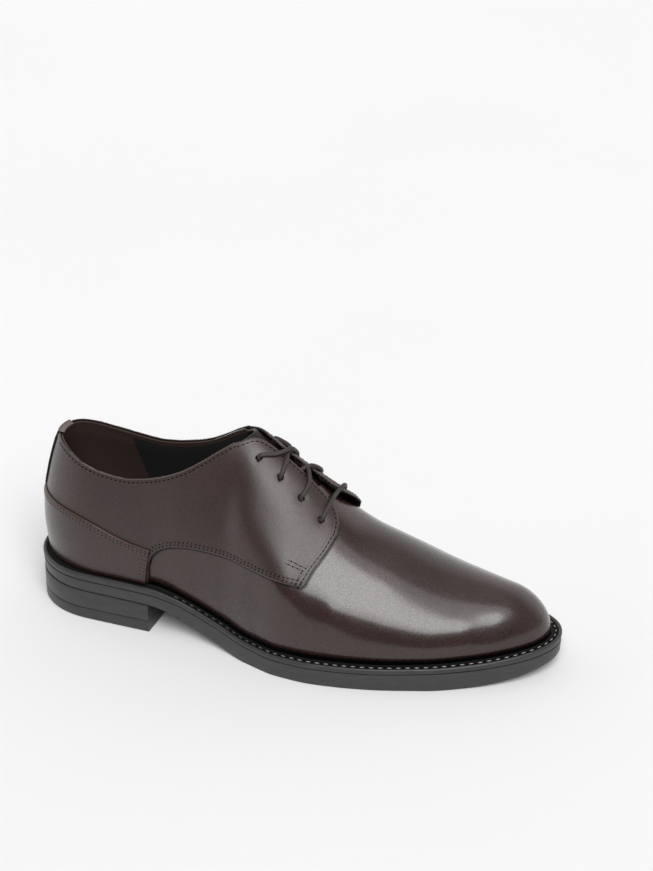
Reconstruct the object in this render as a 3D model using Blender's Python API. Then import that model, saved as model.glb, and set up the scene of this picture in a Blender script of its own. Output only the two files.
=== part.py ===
"""Dress shoe: a laced plain-toe derby for the right foot, standing empty on its sole.

Sizes are in millimetres. x runs from the back of the heel to the toe tip, y from the
lateral side (negative) to the medial side (positive), z up from the floor. The upper is
drawn by one function, skin(), and every panel of it is a layer over that same function.
"""
import math

import bmesh
import bpy
import numpy as np

# Sizes of the whole shoe
LENGTH = 300.0
GAP = 0.3
SEAT_GAP = 0.55
LAYER_GAP = 0.5
HEEL_BREAST = 77.0
HEEL_CURVE = 39.0
HEEL_POWER = 2.2
TOE_CURVE = 62.0
TOE_WALL = 24.0
LIFT_TOP = 6.8
BLOCK_BOTTOM = 7.1

# Leather thicknesses
WALL = 1.8
QUARTER_THICK = 1.2
COUNTER_THICK = 1.1
STRIP_THICK = 0.9
STRIP_WAY = 0.046
INSOLE_THICK = 3.0

# Throat, eyelets and lace
FACING_ACROSS = 0.055
TONGUE_FRONT = 167.0
TONGUE_TOP = 125.0
TONGUE_CORNER = 9.0
TONGUE_SINK = 0.4
EYELET_HOLE = 3.6
LACE = 2.5

# Fineness of the meshes
STATIONS = 40
ROWS = 9


def table(columns, *rows):
    """A short table with named columns, one row for each section."""
    return {name: np.array([row[k] for row in rows], float) for k, name in enumerate(columns)}


# Plan of the sole: half widths at the welt's edge, and the ledge out to it from the upper
OUTLINE = table(
    ("x", "lateral", "medial", "ledge"),
    (0, 36.0, 36.0, 6.6),
    (40, 37.2, 36.5, 6.6),
    (78, 37.6, 34.0, 6.4),
    (97, 37.8, 30.5, 5.8),
    (120, 41.0, 28.5, 5.6),
    (140, 48.0, 30.0, 5.8),
    (160, 53.6, 36.0, 6.2),
    (175, 54.4, 42.0, 6.5),
    (190, 52.8, 46.5, 6.6),
    (210, 48.6, 49.5, 6.6),
    (240, 38.5, 48.5, 6.6),
    (262, 30.5, 47.5, 6.4),
    (280, 26.0, 49.0, 6.2),
    (300, 22.5, 49.5, 6.0),
)

# Side profile of the sole: underside, top of the outsole and thickness of the welt
PROFILE = table(
    ("x", "tread", "seat", "welt"),
    (0, 18.1, 24.8, 4.2),
    (40, 18.0, 24.6, 4.2),
    (78, 17.4, 24.0, 4.2),
    (91, 14.6, 22.0, 3.8),
    (103, 10.5, 18.6, 3.5),
    (115, 5.8, 15.2, 3.3),
    (126, 2.0, 12.3, 3.2),
    (138, 0.0, 10.4, 3.2),
    (160, 0.0, 9.7, 3.2),
    (210, 0.0, 10.0, 3.2),
    (245, 0.0, 10.8, 3.3),
    (262, 0.7, 11.3, 3.5),
    (280, 3.0, 12.5, 4.0),
    (300, 7.6, 14.4, 4.6),
)

# Sections of the upper: ridge height, ridge shift off the middle, shape of the arc, side swell.
# Behind the throat the ridge is the crown of the ankle, which the collar cuts away.
SECTIONS = table(
    ("x", "ridge", "shift", "fullness", "crown", "swell_lateral", "swell_medial"),
    (0, 150.0, 0.0, 1.45, 1.50, 1.5, 1.5),
    (40, 150.0, 0.0, 1.45, 1.55, 2.4, 2.4),
    (80, 147.0, 2.0, 1.45, 1.60, 2.4, 3.5),
    (105, 135.0, 4.5, 1.55, 1.70, 2.2, 6.0),
    (130, 119.0, 7.0, 1.70, 1.80, 2.0, 7.0),
    (155, 100.0, 8.5, 1.90, 1.90, 2.2, 6.0),
    (175, 83.0, 7.0, 2.00, 2.00, 2.6, 4.5),
    (192, 72.3, 5.0, 2.00, 2.00, 3.0, 3.5),
    (212, 63.8, 3.5, 2.00, 2.00, 3.0, 3.0),
    (240, 52.0, 2.8, 2.10, 2.00, 3.0, 3.0),
    (266, 45.0, 2.0, 2.20, 2.10, 2.5, 2.5),
    (282, 41.5, 1.0, 2.30, 2.20, 1.5, 1.5),
    (300, 38.5, 0.0, 2.40, 2.20, 1.0, 1.0),
)

# Lean of the heel's back line against the height over the welt
BACK_LINE = table(
    ("x", "lean"),
    (0, 0.0),
    (10, -1.7),
    (22, -3.0),
    (34, -2.8),
    (46, -0.6),
    (58, 2.8),
    (70, 7.0),
    (125, 28.0),
)

# Height of the collar's edge
COLLAR = table(
    ("x", "top"),
    (0, 99.5),
    (10, 98.8),
    (20, 96.0),
    (32, 92.2),
    (46, 89.6),
    (59, 88.6),
    (71, 90.2),
    (84, 94.0),
    (94, 98.6),
    (104, 105.0),
    (114, 112.2),
    (122, 116.8),
    (129, 118.9),
    (136, 118.0),
)

# Lower edge of the quarters, then their front edge as a share of the way down from the ridge
QUARTER_LOW = table(
    ("x", "low"),
    (76, 30.0),
    (77, 42.0),
    (79, 47.5),
    (84, 52.3),
    (91, 55.3),
    (100, 56.8),
    (112, 57.3),
    (127, 57.3),
    (140, 56.4),
    (153, 55.0),
    (171, 52.3),
)
QUARTER_FRONT = table(
    ("x", "upper", "lower"),
    (165, FACING_ACROSS, 0.700),
    (171, 0.070, 0.683),
    (175, 0.100, 0.567),
    (178, 0.145, 0.475),
    (180, 0.190, 0.390),
    (181.2, 0.270, 0.290),
)

# Top edge of the counter
COUNTER_TOP = table(
    ("x", "top"),
    (0, 66.0),
    (16, 64.9),
    (30, 63.4),
    (43, 60.2),
    (55, 56.0),
    (67, 52.8),
    (79, 51.2),
)

# Eyelets, from the top pair to the bottom pair
EYELETS = table(
    ("x", "across"),
    (135.1, 0.250),
    (148.8, 0.240),
    (161.2, 0.246),
    (172.9, 0.263),
)


def curve(rows, name, x):
    """A column of a table at x: a cubic through its rows that never overshoots them."""
    xs = rows["x"]
    ys = rows[name]
    x = np.clip(np.asarray(x, float), xs[0], xs[-1])
    step = np.diff(xs)
    rise = np.diff(ys) / step
    slope = np.zeros(len(xs))
    slope[0] = rise[0]
    slope[-1] = rise[-1]
    for i in range(1, len(xs) - 1):
        if rise[i - 1] * rise[i] > 0:
            a = 2 * step[i] + step[i - 1]
            b = step[i] + 2 * step[i - 1]
            slope[i] = (a + b) / (a / rise[i - 1] + b / rise[i])
    k = np.clip(np.searchsorted(xs, x) - 1, 0, len(step) - 1)
    f = (x - xs[k]) / step[k]
    start = (1 + 2 * f) * (1 - f) ** 2 * ys[k] + f * (1 - f) ** 2 * step[k] * slope[k]
    end = f * f * (3 - 2 * f) * ys[k + 1] + f * f * (f - 1) * step[k] * slope[k + 1]
    return start + end


def end_round(distance, length, power):
    """0 at the end of an outline, 1 from the given length on, as a rounded end."""
    return (1 - (1 - np.clip(distance / length, 0, 1)) ** power) ** (1 / power)


def stations(count):
    """Even steps of the way from heel (0) to toe (1)."""
    return np.linspace(0, 1, count + 1)


def along(way, start, stop):
    """Place on x for a share of the way, dense at both ends where the outline turns."""
    return start + (stop - start) * (1 - np.cos(math.pi * way)) / 2


def way_of(x):
    """Share of the way for a place on x, between the upper's back and toe."""
    return np.arccos(np.clip(1 - 2 * (x - UPPER_BACK) / (UPPER_TOE - UPPER_BACK), -1, 1)) / math.pi


def middle(x):
    """Middle line of the sole, which bends toward the medial side at the toe."""
    return (curve(OUTLINE, "medial", x) - curve(OUTLINE, "lateral", x)) / 2


def edge(x, side, inset, start, stop):
    """Sole edge, drawn in by inset, between its ends at start and stop."""
    half = (curve(OUTLINE, "medial", x) + curve(OUTLINE, "lateral", x)) / 2 - inset
    ends = end_round(x - start, HEEL_CURVE, HEEL_POWER) * end_round(stop - x, TOE_CURVE, 2.0)
    return middle(x) + side * half * ends


def feather_height(x):
    """Height of the welt's top, where the upper shows first."""
    return curve(PROFILE, "seat", x) + GAP + curve(PROFILE, "welt", x)


UPPER_BACK = float(curve(OUTLINE, "ledge", 0))
UPPER_TOE = LENGTH - float(curve(OUTLINE, "ledge", LENGTH))


def crown_height(x):
    """Rise of the upper from the welt to its ridge; it closes at the toe."""
    return (curve(SECTIONS, "ridge", x) - feather_height(x)) * end_round(UPPER_TOE - x, TOE_WALL, 2.2)


def across_at(x, height):
    """Share of the way down from the ridge at which the upper has this height."""
    share = (height - feather_height(x)) / np.maximum(crown_height(x), 0.001)
    return np.sqrt(np.clip(1 - share, 0, 1))


def form(way, across):
    """Outer face of the upper: across is -1 at the lateral welt, 0 on the ridge, 1 medial."""
    way, across = np.broadcast_arrays(np.asarray(way, float), np.asarray(across, float))
    x = along(way, UPPER_BACK, UPPER_TOE)
    side = np.where(across < 0, -1.0, 1.0)
    up = 1 - across**2
    ends = end_round(x - UPPER_BACK, HEEL_CURVE, HEEL_POWER) * end_round(UPPER_TOE - x, TOE_CURVE, 2.0)
    foot = edge(x, side, curve(OUTLINE, "ledge", x), UPPER_BACK, UPPER_TOE)
    ridge = middle(x) + curve(SECTIONS, "shift", x) * ends
    arc = np.clip(1 - up ** curve(SECTIONS, "fullness", x), 0, 1) ** (1 / curve(SECTIONS, "crown", x))
    swell = np.where(side < 0, curve(SECTIONS, "swell_lateral", x), curve(SECTIONS, "swell_medial", x))
    y = ridge + (foot - ridge) * arc + side * swell * ends * 12.2 * up * (1 - up) ** 4
    rise = up * crown_height(x)
    lean = curve(BACK_LINE, "lean", rise) * np.clip(1 - x / 85, 0, 1) ** 2
    return np.stack([x + lean, y, feather_height(x) + rise], axis=-1)


def skin(way, across, off=0.0):
    """The upper's face moved out by off along its normal."""
    way, across = np.broadcast_arrays(np.asarray(way, float), np.asarray(across, float))
    tiny = 0.001
    ahead = form(np.clip(way + tiny, 0, 1), across) - form(np.clip(way - tiny, 0, 1), across)
    over = form(way, np.clip(across + tiny, -1, 1)) - form(way, np.clip(across - tiny, -1, 1))
    normal = np.cross(ahead, over)
    size = np.linalg.norm(normal, axis=-1, keepdims=True)
    pole = size < 1e-9
    normal = np.where(pole, (1.0, 0.0, 0.0), normal / np.where(pole, 1.0, size))
    return form(way, across) + off * normal


SIDE_MIDDLE = (OUTLINE["medial"].max() - OUTLINE["lateral"].max()) / 2


def place(points):
    """Millimetres from the heel's back to metres from the middle of the footprint."""
    return (np.asarray(points, float) - (LENGTH / 2, SIDE_MIDDLE, 0.0)) * 0.001


def material(name, colour, roughness):
    """Plain finish of one piece."""
    finish = bpy.data.materials.new(name)
    finish.use_nodes = True
    shader = finish.node_tree.nodes["Principled BSDF"]
    shader.inputs["Base Color"].default_value = (*colour, 1.0)
    shader.inputs["Roughness"].default_value = roughness
    return finish


def finish_object(name, points, faces, look):
    """Named object from points and faces: doubles welded, all faces turned outward."""
    mesh = bpy.data.meshes.new(name)
    mesh.from_pydata(place(points).tolist(), [], faces)
    work = bmesh.new()
    work.from_mesh(mesh)
    bmesh.ops.remove_doubles(work, verts=work.verts, dist=0.00003)
    bmesh.ops.dissolve_degenerate(work, edges=work.edges, dist=0.000005)
    bmesh.ops.recalc_face_normals(work, faces=work.faces)
    work.to_mesh(mesh)
    work.free()
    thing = bpy.data.objects.new(name, mesh)
    bpy.context.scene.collection.objects.link(thing)
    mesh.materials.append(look)
    return thing


class Solid:
    """Collects points and four-sided faces for one piece."""

    def __init__(self):
        self.points = []
        self.faces = []

    def grid(self, rows):
        """Adds a grid of points, given as an array (rows, columns, 3), and its faces."""
        rows = np.asarray(rows, float)
        first = len(self.points)
        height, width = rows.shape[:2]
        self.points.extend(rows.reshape(-1, 3).tolist())
        for i in range(height - 1):
            for j in range(width - 1):
                a = first + i * width + j
                self.faces.append((a, a + 1, a + width + 1, a + width))

    def cap(self, ring):
        """Adds one flat face through a ring of points."""
        first = len(self.points)
        self.points.extend(np.asarray(ring, float).tolist())
        self.faces.append(tuple(range(first, first + len(ring))))

    def object(self, name, look):
        return finish_object(name, self.points, self.faces, look)


def shell(outer, inner):
    """Closed layer between two grids of the same size."""
    solid = Solid()
    solid.grid(outer)
    solid.grid(inner)
    solid.grid([outer[0], inner[0]])
    solid.grid([outer[-1], inner[-1]])
    solid.grid([outer[:, 0], inner[:, 0]])
    solid.grid([outer[:, -1], inner[:, -1]])
    return solid


def layer(ways, across, off):
    """Grid over the skin that stops just above the welt."""
    grid = skin(ways, across, off)
    grid[..., 2] = np.maximum(grid[..., 2], feather_height(grid[..., 0]) + GAP)
    return grid


def panel(ways, low, high, rows, inner_off, outer_off):
    """Layer over the skin between two edges, with its rows closer where the ridge is sharp."""
    share = 1 - (1 - np.linspace(0, 1, rows + 1)[None, :]) ** 1.4
    across = low[:, None] * (1 - share) + high[:, None] * share
    return shell(layer(ways[:, None], across, outer_off), layer(ways[:, None], across, inner_off))


def slab(rows, count, stop=None):
    """Solid of stacked outlines: each row is an inset and a height over x.

    With stop the outline ends there in a flat face, else it runs round the toe.
    """
    solid = Solid()
    loops = {-1: [], 1: []}
    for side in loops:
        for inset, height in rows:
            if stop is None:
                x = along(stations(count), inset, LENGTH - inset)
                y = edge(x, side, inset, inset, LENGTH - inset)
            else:
                x = inset + (stop - inset) * (1 - np.cos(math.pi / 2 * stations(count)))
                y = edge(x, side, inset, inset, LENGTH)
            loops[side].append(np.stack([x, y, height(x) + 0 * x], axis=-1))
        solid.grid(loops[side])
    for level in (0, -1):
        solid.grid([loops[-1][level], loops[1][level]])
    if stop is not None:
        lateral = [loop[-1] for loop in loops[-1]]
        medial = [loop[-1] for loop in loops[1]]
        solid.cap(lateral + medial[::-1])
    return solid


def seat(x):
    """Height of the outsole's top."""
    return curve(PROFILE, "seat", x)


def tread(x):
    """Height of the outsole's underside."""
    return curve(PROFILE, "tread", x)


def level(height):
    """Flat height, the same all along."""
    return lambda x: height + 0 * x


def build_sole():
    """Top lift, heel block, outsole, welt and insole, from the floor up."""
    rubber = material("black_rubber", (0.030, 0.028, 0.028), 0.55)
    heel_rubber = material("heel_rubber", (0.030, 0.028, 0.028), 0.55)
    lift_rubber = material("lift_rubber", (0.026, 0.025, 0.025), 0.6)
    welt_look = material("welt_rubber", (0.034, 0.031, 0.031), 0.5)
    lining = material("insole_leather", (0.060, 0.035, 0.025), 0.6)
    slab(
        [(1.5, level(0.0)), (0.6, level(0.9)), (0.5, level(LIFT_TOP - 0.6)), (1.2, level(LIFT_TOP))],
        18,
        HEEL_BREAST,
    ).object("top_lift", lift_rubber)
    slab(
        [
            (1.2, level(BLOCK_BOTTOM)),
            (0.5, level(BLOCK_BOTTOM + 0.6)),
            (0.4, lambda x: tread(x) - GAP - 0.6),
            (1.2, lambda x: tread(x) - GAP),
        ],
        18,
        HEEL_BREAST,
    ).object("heel_block", heel_rubber)
    slab(
        [
            (1.7, tread),
            (0.8, lambda x: tread(x) + 0.9),
            (0.3, lambda x: seat(x) - 1.3),
            (1.3, lambda x: seat(x) - 0.8),
            (1.3, seat),
        ],
        STATIONS,
    ).object("outsole", rubber)
    build_welt(welt_look)
    inset = float(OUTLINE["ledge"].max()) + WALL + 0.5
    slab(
        [
            (inset, lambda x: seat(x) + SEAT_GAP),
            (inset, lambda x: seat(x) + INSOLE_THICK - 0.5),
            (inset + 0.8, lambda x: seat(x) + INSOLE_THICK),
        ],
        STATIONS,
    ).object("insole", lining)


def upper_stations():
    """Stations of upper and welt, with more of them where the throat's opening turns."""
    ways = stations(STATIONS)
    turn = way_of(TONGUE_FRONT - TONGUE_CORNER * (1 - np.cos(math.pi / 2 * np.linspace(0, 1, 4))))
    return np.unique(np.concatenate([ways[np.abs(ways - turn.mean()) > 0.022], turn]))


def build_welt(look):
    """Ring round the upper's foot, with its outer edge rounded over."""
    ways = upper_stations()
    solid = Solid()
    for side in (-1, 1):
        loops = []
        for inset, drop in ((0.5, None), (0.0, 2.0), (0.0, 0.9), (0.8, 0.0)):
            x = along(ways, inset, LENGTH - inset)
            z = seat(x) + SEAT_GAP if drop is None else feather_height(x) - drop
            loops.append(np.stack([x, edge(x, side, inset, inset, LENGTH - inset), z], axis=-1))
        start = UPPER_BACK - GAP
        stop = UPPER_TOE + GAP
        x = along(ways, start, stop)
        y = edge(x, side, curve(OUTLINE, "ledge", x) - GAP, start, stop)
        loops.append(np.stack([x, y, feather_height(x)], axis=-1))
        loops.append(np.stack([x, y, seat(x) + SEAT_GAP], axis=-1))
        loops.append(loops[0])
        solid.grid(loops)
    solid.object("welt", look)


def throat_edge(x):
    """Edge of the upper under the quarters, round the tongue, as a value of across."""
    return 0.33 * end_round(TONGUE_FRONT - x, TONGUE_CORNER, 2.0)


def upper_edge(x):
    """Free edge of the upper: the collar, then the opening for the tongue."""
    collar = across_at(x, curve(COLLAR, "top", x))
    return np.where(x < TONGUE_FRONT, np.maximum(np.where(x < 136, collar, 0.0), throat_edge(x)), 0.0)


def build_upper(look):
    """One hollow wall: vamp and back part, open at the collar, the throat and underneath."""
    ways = upper_stations()
    x = along(ways, UPPER_BACK, UPPER_TOE)
    top = upper_edge(x)
    open_part = slice(0, int(np.argmax(top <= 0)) + 1)
    share = np.linspace(0, 1, ROWS + 1)[None, :]
    solid = Solid()
    for side in (-1, 1):
        across = side * (1 - share + top[:, None] * share)
        faces = []
        for off in (0.0, -WALL):
            rows = skin(ways[:, None], across, off)
            rows[0, :, 1] = 0.0
            rows[-1] = (UPPER_TOE + off, middle(UPPER_TOE), feather_height(UPPER_TOE))
            rows[:, 0, 2] = feather_height(x)
            foot = rows[:, :1].copy()
            foot[:, 0, 2] = seat(x) + SEAT_GAP
            faces.append(np.concatenate([foot, rows], axis=1))
        outer, inner = faces
        solid.grid(outer)
        solid.grid(inner)
        solid.grid([outer[:, 0], inner[:, 0]])
        solid.grid([outer[open_part, -1], inner[open_part, -1]])
    solid.object("upper", look)


def quarter_edges(x):
    """Lower and upper edge of a quarter as values of across."""
    foot = feather_height(x) + GAP
    low = np.where(x < 76, foot, np.maximum(curve(QUARTER_LOW, "low", x), foot))
    lower = np.where(x < 171, across_at(x, low), curve(QUARTER_FRONT, "lower", x))
    collar = np.where(x < 136, across_at(x, curve(COLLAR, "top", x)), 0.0)
    upper = np.maximum(np.maximum(collar, FACING_ACROSS), curve(QUARTER_FRONT, "upper", x))
    return lower, upper


def build_quarter(name, side, look):
    """Quarter over the upper, from the back seam to the facing, with its row of eyelets."""
    back = UPPER_BACK + 76.0 * (1 - np.cos(math.pi / 2 * np.linspace(0.025, 0.94, 11)))
    front = 171.0 + 10.2 * np.sin(math.pi / 2 * np.linspace(0, 1, 6))
    top = np.concatenate([np.linspace(99, 111, 3), np.linspace(115, 135, 6), np.linspace(141, 163, 4)])
    x = np.concatenate([back, (76.0, 77.0, 79.0, 84.0, 91.0), top, front])
    lower, upper = quarter_edges(x)
    solid = panel(way_of(x), side * lower, side * upper, 8, LAYER_GAP, LAYER_GAP + QUARTER_THICK)
    quarter = solid.object(name, look)
    drill = Solid()
    for x_hole, across in zip(EYELETS["x"], EYELETS["across"]):
        drill_hole(drill, way_of(x_hole), side * across)
    cut(quarter, drill.object("eyelet_drill", look), "DIFFERENCE")


def drill_hole(drill, way, across):
    """Adds one upright cutter through the quarter's leather."""
    low = skin(way, across, -0.5)
    high = skin(way, across, QUARTER_THICK + 1.5)
    axis = (high - low) / np.linalg.norm(high - low)
    first = np.cross(axis, (1.0, 0.0, 0.0))
    first /= np.linalg.norm(first)
    second = np.cross(axis, first)
    turn = np.linspace(0, 2 * math.pi, 13)[:, None]
    ring = EYELET_HOLE / 2 * (np.cos(turn) * first + np.sin(turn) * second)
    drill.grid([low + ring, high + ring])
    drill.cap((low + ring)[:-1])
    drill.cap((high + ring)[:-1])


def cut(thing, tool, operation):
    """Cuts or joins with a helper object, which is then gone."""
    change = thing.modifiers.new("change", "BOOLEAN")
    change.operation = operation
    change.solver = "EXACT"
    change.object = tool
    bpy.context.view_layer.update()
    evaluated = thing.evaluated_get(bpy.context.evaluated_depsgraph_get())
    mesh = bpy.data.meshes.new_from_object(evaluated)
    thing.modifiers.remove(change)
    mesh.materials.clear()
    mesh.materials.append(thing.data.materials[0])
    thing.data = mesh
    bpy.data.objects.remove(tool, do_unlink=True)


def build_counter(look):
    """Heel panel wrapped round the back over both quarters."""
    x = UPPER_BACK + (78.8 - UPPER_BACK) * (1 - np.cos(math.pi / 2 * np.linspace(0, 1, 17)))
    inner_off = LAYER_GAP + QUARTER_THICK + GAP
    share = np.linspace(0, 1, 5)[None, :]
    halves = {}
    for side in (-1, 1):
        slant = 2.6 * ((x / x[-1]) ** 8)[:, None] * (1 - share)
        place_x = x[:, None] - slant
        low = across_at(x, feather_height(x) + 1.5 * GAP)
        high = across_at(x, curve(COUNTER_TOP, "top", x))
        across = side * (low[:, None] * (1 - share) + high[:, None] * share)
        halves[side] = [layer(way_of(place_x), across, inner_off + t) for t in (COUNTER_THICK, 0.0)]
        for grid in halves[side]:
            grid[0, :, 1] = 0.0
    outer, inner = (np.concatenate([halves[1][k][:0:-1], halves[-1][k]]) for k in (0, 1))
    shell(outer, inner).object("counter", look)


def build_backstay(look):
    """Narrow strip over the back seam, from the counter up to the collar."""
    ways = np.linspace(0.0, STRIP_WAY, 4)
    x = along(ways, UPPER_BACK, UPPER_TOE)
    inner_off = LAYER_GAP + QUARTER_THICK + GAP
    low = across_at(x, curve(COUNTER_TOP, "top", x) + 3 * GAP)
    high = across_at(x, curve(COLLAR, "top", x))
    share = np.linspace(0, 1, 6)[None, :]
    halves = {}
    for side in (-1, 1):
        across = side * (low[:, None] * (1 - share) + high[:, None] * share)
        halves[side] = [skin(ways[:, None], across, inner_off + t) for t in (STRIP_THICK, 0.0)]
        for grid in halves[side]:
            grid[0, :, 1] = 0.0
    outer, inner = (np.concatenate([halves[1][k][:0:-1], halves[-1][k]]) for k in (0, 1))
    shell(outer, inner).object("backstay", look)


def build_tongue(look):
    """Tongue in the upper's opening, under both facings and a little over their top."""
    front = TONGUE_FRONT - 0.5
    length = front - TONGUE_TOP
    x = front - length * (1 - np.cos(math.pi * np.linspace(0, 1, 17))) / 2
    half = 0.318 * end_round(front - x, TONGUE_CORNER, 2.0) * end_round(x - TONGUE_TOP, 16.0, 2.0)
    half = np.maximum(half, 0.06)
    share = np.linspace(-1, 1, 9)[None, :]
    ways = way_of(x)[:, None]
    across = half[:, None] * share
    shell(skin(ways, across, -TONGUE_SINK), skin(ways, across, -TONGUE_SINK - WALL)).object("tongue", look)


def cord(path, sides=6, steps=4):
    """Round lace through control points given as x, across and height over the skin."""
    knots = np.array([skin(way_of(x), across, up) for x, across, up in path])
    knots = np.concatenate([[2 * knots[0] - knots[1]], knots, [2 * knots[-1] - knots[-2]]])
    line = []
    for k in range(1, len(knots) - 2):
        a, b, c, d = knots[k - 1 : k + 3]
        for f in np.linspace(0, 1, steps + 1)[: steps if k < len(knots) - 3 else steps + 1]:
            bend = (2 * a - 5 * b + 4 * c - d) * f**2 + (3 * b - a - 3 * c + d) * f**3
            line.append(0.5 * (2 * b + (c - a) * f + bend))
    line = np.array(line)
    ahead = np.gradient(line, axis=0)
    ahead /= np.linalg.norm(ahead, axis=1, keepdims=True)
    first = np.cross(ahead, (0.0, 0.0, 1.0))
    first /= np.linalg.norm(first, axis=1, keepdims=True)
    second = np.cross(ahead, first)
    turn = np.linspace(0, 2 * math.pi, sides + 1)
    ring = [line + LACE / 2 * (math.cos(t) * first + math.sin(t) * second) for t in turn]
    solid = Solid()
    solid.grid(np.stack(ring, axis=1))
    solid.cap([loop[0] for loop in ring[:-1]])
    solid.cap([loop[-1] for loop in ring[:-1]])
    return solid


def build_laces(colour):
    """Straight bar over the lowest eyelets and two crossings above it."""
    bar_look = material("bar_cord", colour, 0.6)
    lower_look = material("lower_cord", colour, 0.6)
    upper_look = material("upper_cord", colour, 0.6)
    rest = LAYER_GAP + QUARTER_THICK + 0.4 + LACE / 2
    eyes = list(zip(EYELETS["x"], EYELETS["across"]))
    (x1, s1), (x2, s2), (x3, s3), (x4, s4) = eyes
    bar = [(x4, -s4, rest), (x4, -s4 / 2, rest), (x4, 0.0, rest), (x4, s4 / 2, rest), (x4, s4, rest)]
    cord(bar).object("lace_bar", bar_look)
    low = {}
    for side in (-1, 1):
        path = [(x3, side * s3, rest), (x3 - 2, side * 0.14, rest), (x3 - 4.5, 0.0, rest + 0.4)]
        low[side] = path + [(x3 - 7.0, -side * 0.11, rest)]
    lower = cord(low[-1]).object("lace_cross_lower", lower_look)
    cut(lower, cord(low[1]).object("lace_tool", lower_look), "UNION")
    high = {}
    for side in (-1, 1):
        over = 0.8 if side > 0 else 0.0
        path = [(x2, side * s2, rest), (x2 - 4, side * 0.12, rest), ((x1 + x2) / 2, 0.0, rest + over)]
        high[side] = path + [(x1 + 3.5, -side * 0.13, rest), (x1, -side * s1, rest)]
    upper = cord(high[-1]).object("lace_cross_upper", upper_look)
    cut(upper, cord(high[1]).object("lace_tool", upper_look), "UNION")


def build_shoe():
    for thing in list(bpy.data.objects):
        bpy.data.objects.remove(thing, do_unlink=True)
    brown = (0.045, 0.024, 0.018)
    build_sole()
    build_upper(material("vamp_leather", brown, 0.35))
    build_quarter("quarter_lateral", -1, material("lateral_leather", brown, 0.35))
    build_quarter("quarter_medial", 1, material("medial_leather", brown, 0.35))
    build_counter(material("counter_leather", brown, 0.35))
    build_backstay(material("backstay_leather", brown, 0.4))
    build_tongue(material("tongue_leather", (0.040, 0.022, 0.017), 0.45))
    build_laces((0.035, 0.028, 0.025))


build_shoe()
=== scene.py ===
# %% [markdown]
# # A laced dress shoe
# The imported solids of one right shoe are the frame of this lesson. They have the true shape of the
# last, but plain faces. Here every piece is drawn again, finer, from the same tables and the same
# skin function, and gets its seams, lace, grain and gloss.

import math

import bmesh
import bpy
import numpy as np
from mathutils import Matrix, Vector


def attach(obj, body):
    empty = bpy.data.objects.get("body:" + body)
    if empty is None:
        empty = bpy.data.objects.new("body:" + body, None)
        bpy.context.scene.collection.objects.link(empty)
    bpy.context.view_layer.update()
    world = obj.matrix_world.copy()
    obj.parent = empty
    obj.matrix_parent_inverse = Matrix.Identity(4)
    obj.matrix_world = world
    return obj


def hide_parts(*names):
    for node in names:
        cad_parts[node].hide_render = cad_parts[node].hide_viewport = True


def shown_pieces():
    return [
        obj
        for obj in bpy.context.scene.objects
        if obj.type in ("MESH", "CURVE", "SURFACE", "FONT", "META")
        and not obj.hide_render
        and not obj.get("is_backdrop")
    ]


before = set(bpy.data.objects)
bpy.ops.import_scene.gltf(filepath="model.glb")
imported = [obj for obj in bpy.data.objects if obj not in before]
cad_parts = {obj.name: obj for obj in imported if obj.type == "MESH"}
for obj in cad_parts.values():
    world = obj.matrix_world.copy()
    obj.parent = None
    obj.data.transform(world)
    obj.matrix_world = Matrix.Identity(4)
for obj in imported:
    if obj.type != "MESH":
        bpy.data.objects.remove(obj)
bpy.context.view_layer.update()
print("solids:", ", ".join(sorted(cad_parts)))

# %% [markdown]
# ## The last
# A shoe is built round a last, the wooden foot that gives it its form. Ours is four short tables
# in millimetres: the plan of the sole, its side profile, the sections of the upper, and the lean
# of the heel. A cubic that never overshoots runs through the rows, so a few numbers make a smooth
# form. x runs from the heel to the toe, y to the inner side of the foot, z up.

# %% Tables of the last
LENGTH = 300.0
GAP = 0.3
SEAT_GAP = 0.55
LAYER_GAP = 0.5
HEEL_BREAST = 77.0
HEEL_CURVE = 39.0
HEEL_POWER = 2.2
TOE_CURVE = 62.0
TOE_POWER = 2.0
TOE_WALL = 24.0
TOE_WALL_POWER = 2.2
LIFT_TOP = 6.8
BLOCK_BOTTOM = 7.1


def table(columns, *rows):
    """A short table with named columns, one row for each section."""
    return {name: np.array([row[k] for row in rows], float) for k, name in enumerate(columns)}


OUTLINE = table(
    ("x", "lateral", "medial", "ledge"),
    (0, 36.0, 36.0, 6.6),
    (40, 37.2, 36.5, 6.6),
    (78, 37.6, 34.0, 6.4),
    (97, 37.8, 30.5, 5.8),
    (120, 41.0, 28.5, 5.6),
    (140, 48.0, 30.0, 5.8),
    (160, 53.6, 36.0, 6.2),
    (175, 54.4, 42.0, 6.5),
    (190, 52.8, 46.5, 6.6),
    (210, 48.6, 49.5, 6.6),
    (240, 38.5, 48.5, 6.6),
    (262, 30.5, 47.5, 6.4),
    (280, 26.0, 49.0, 6.2),
    (300, 22.5, 49.5, 6.0),
)
PROFILE = table(
    ("x", "tread", "seat", "welt"),
    (0, 18.1, 24.8, 4.2),
    (40, 18.0, 24.6, 4.2),
    (78, 17.4, 24.0, 4.2),
    (91, 14.6, 22.0, 3.8),
    (103, 10.5, 18.6, 3.5),
    (115, 5.8, 15.2, 3.3),
    (126, 2.0, 12.3, 3.2),
    (138, 0.0, 10.4, 3.2),
    (160, 0.0, 9.7, 3.2),
    (210, 0.0, 10.0, 3.2),
    (245, 0.0, 10.8, 3.3),
    (262, 0.7, 11.3, 3.5),
    (280, 3.0, 12.5, 4.0),
    (300, 7.6, 14.4, 4.6),
)
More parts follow.
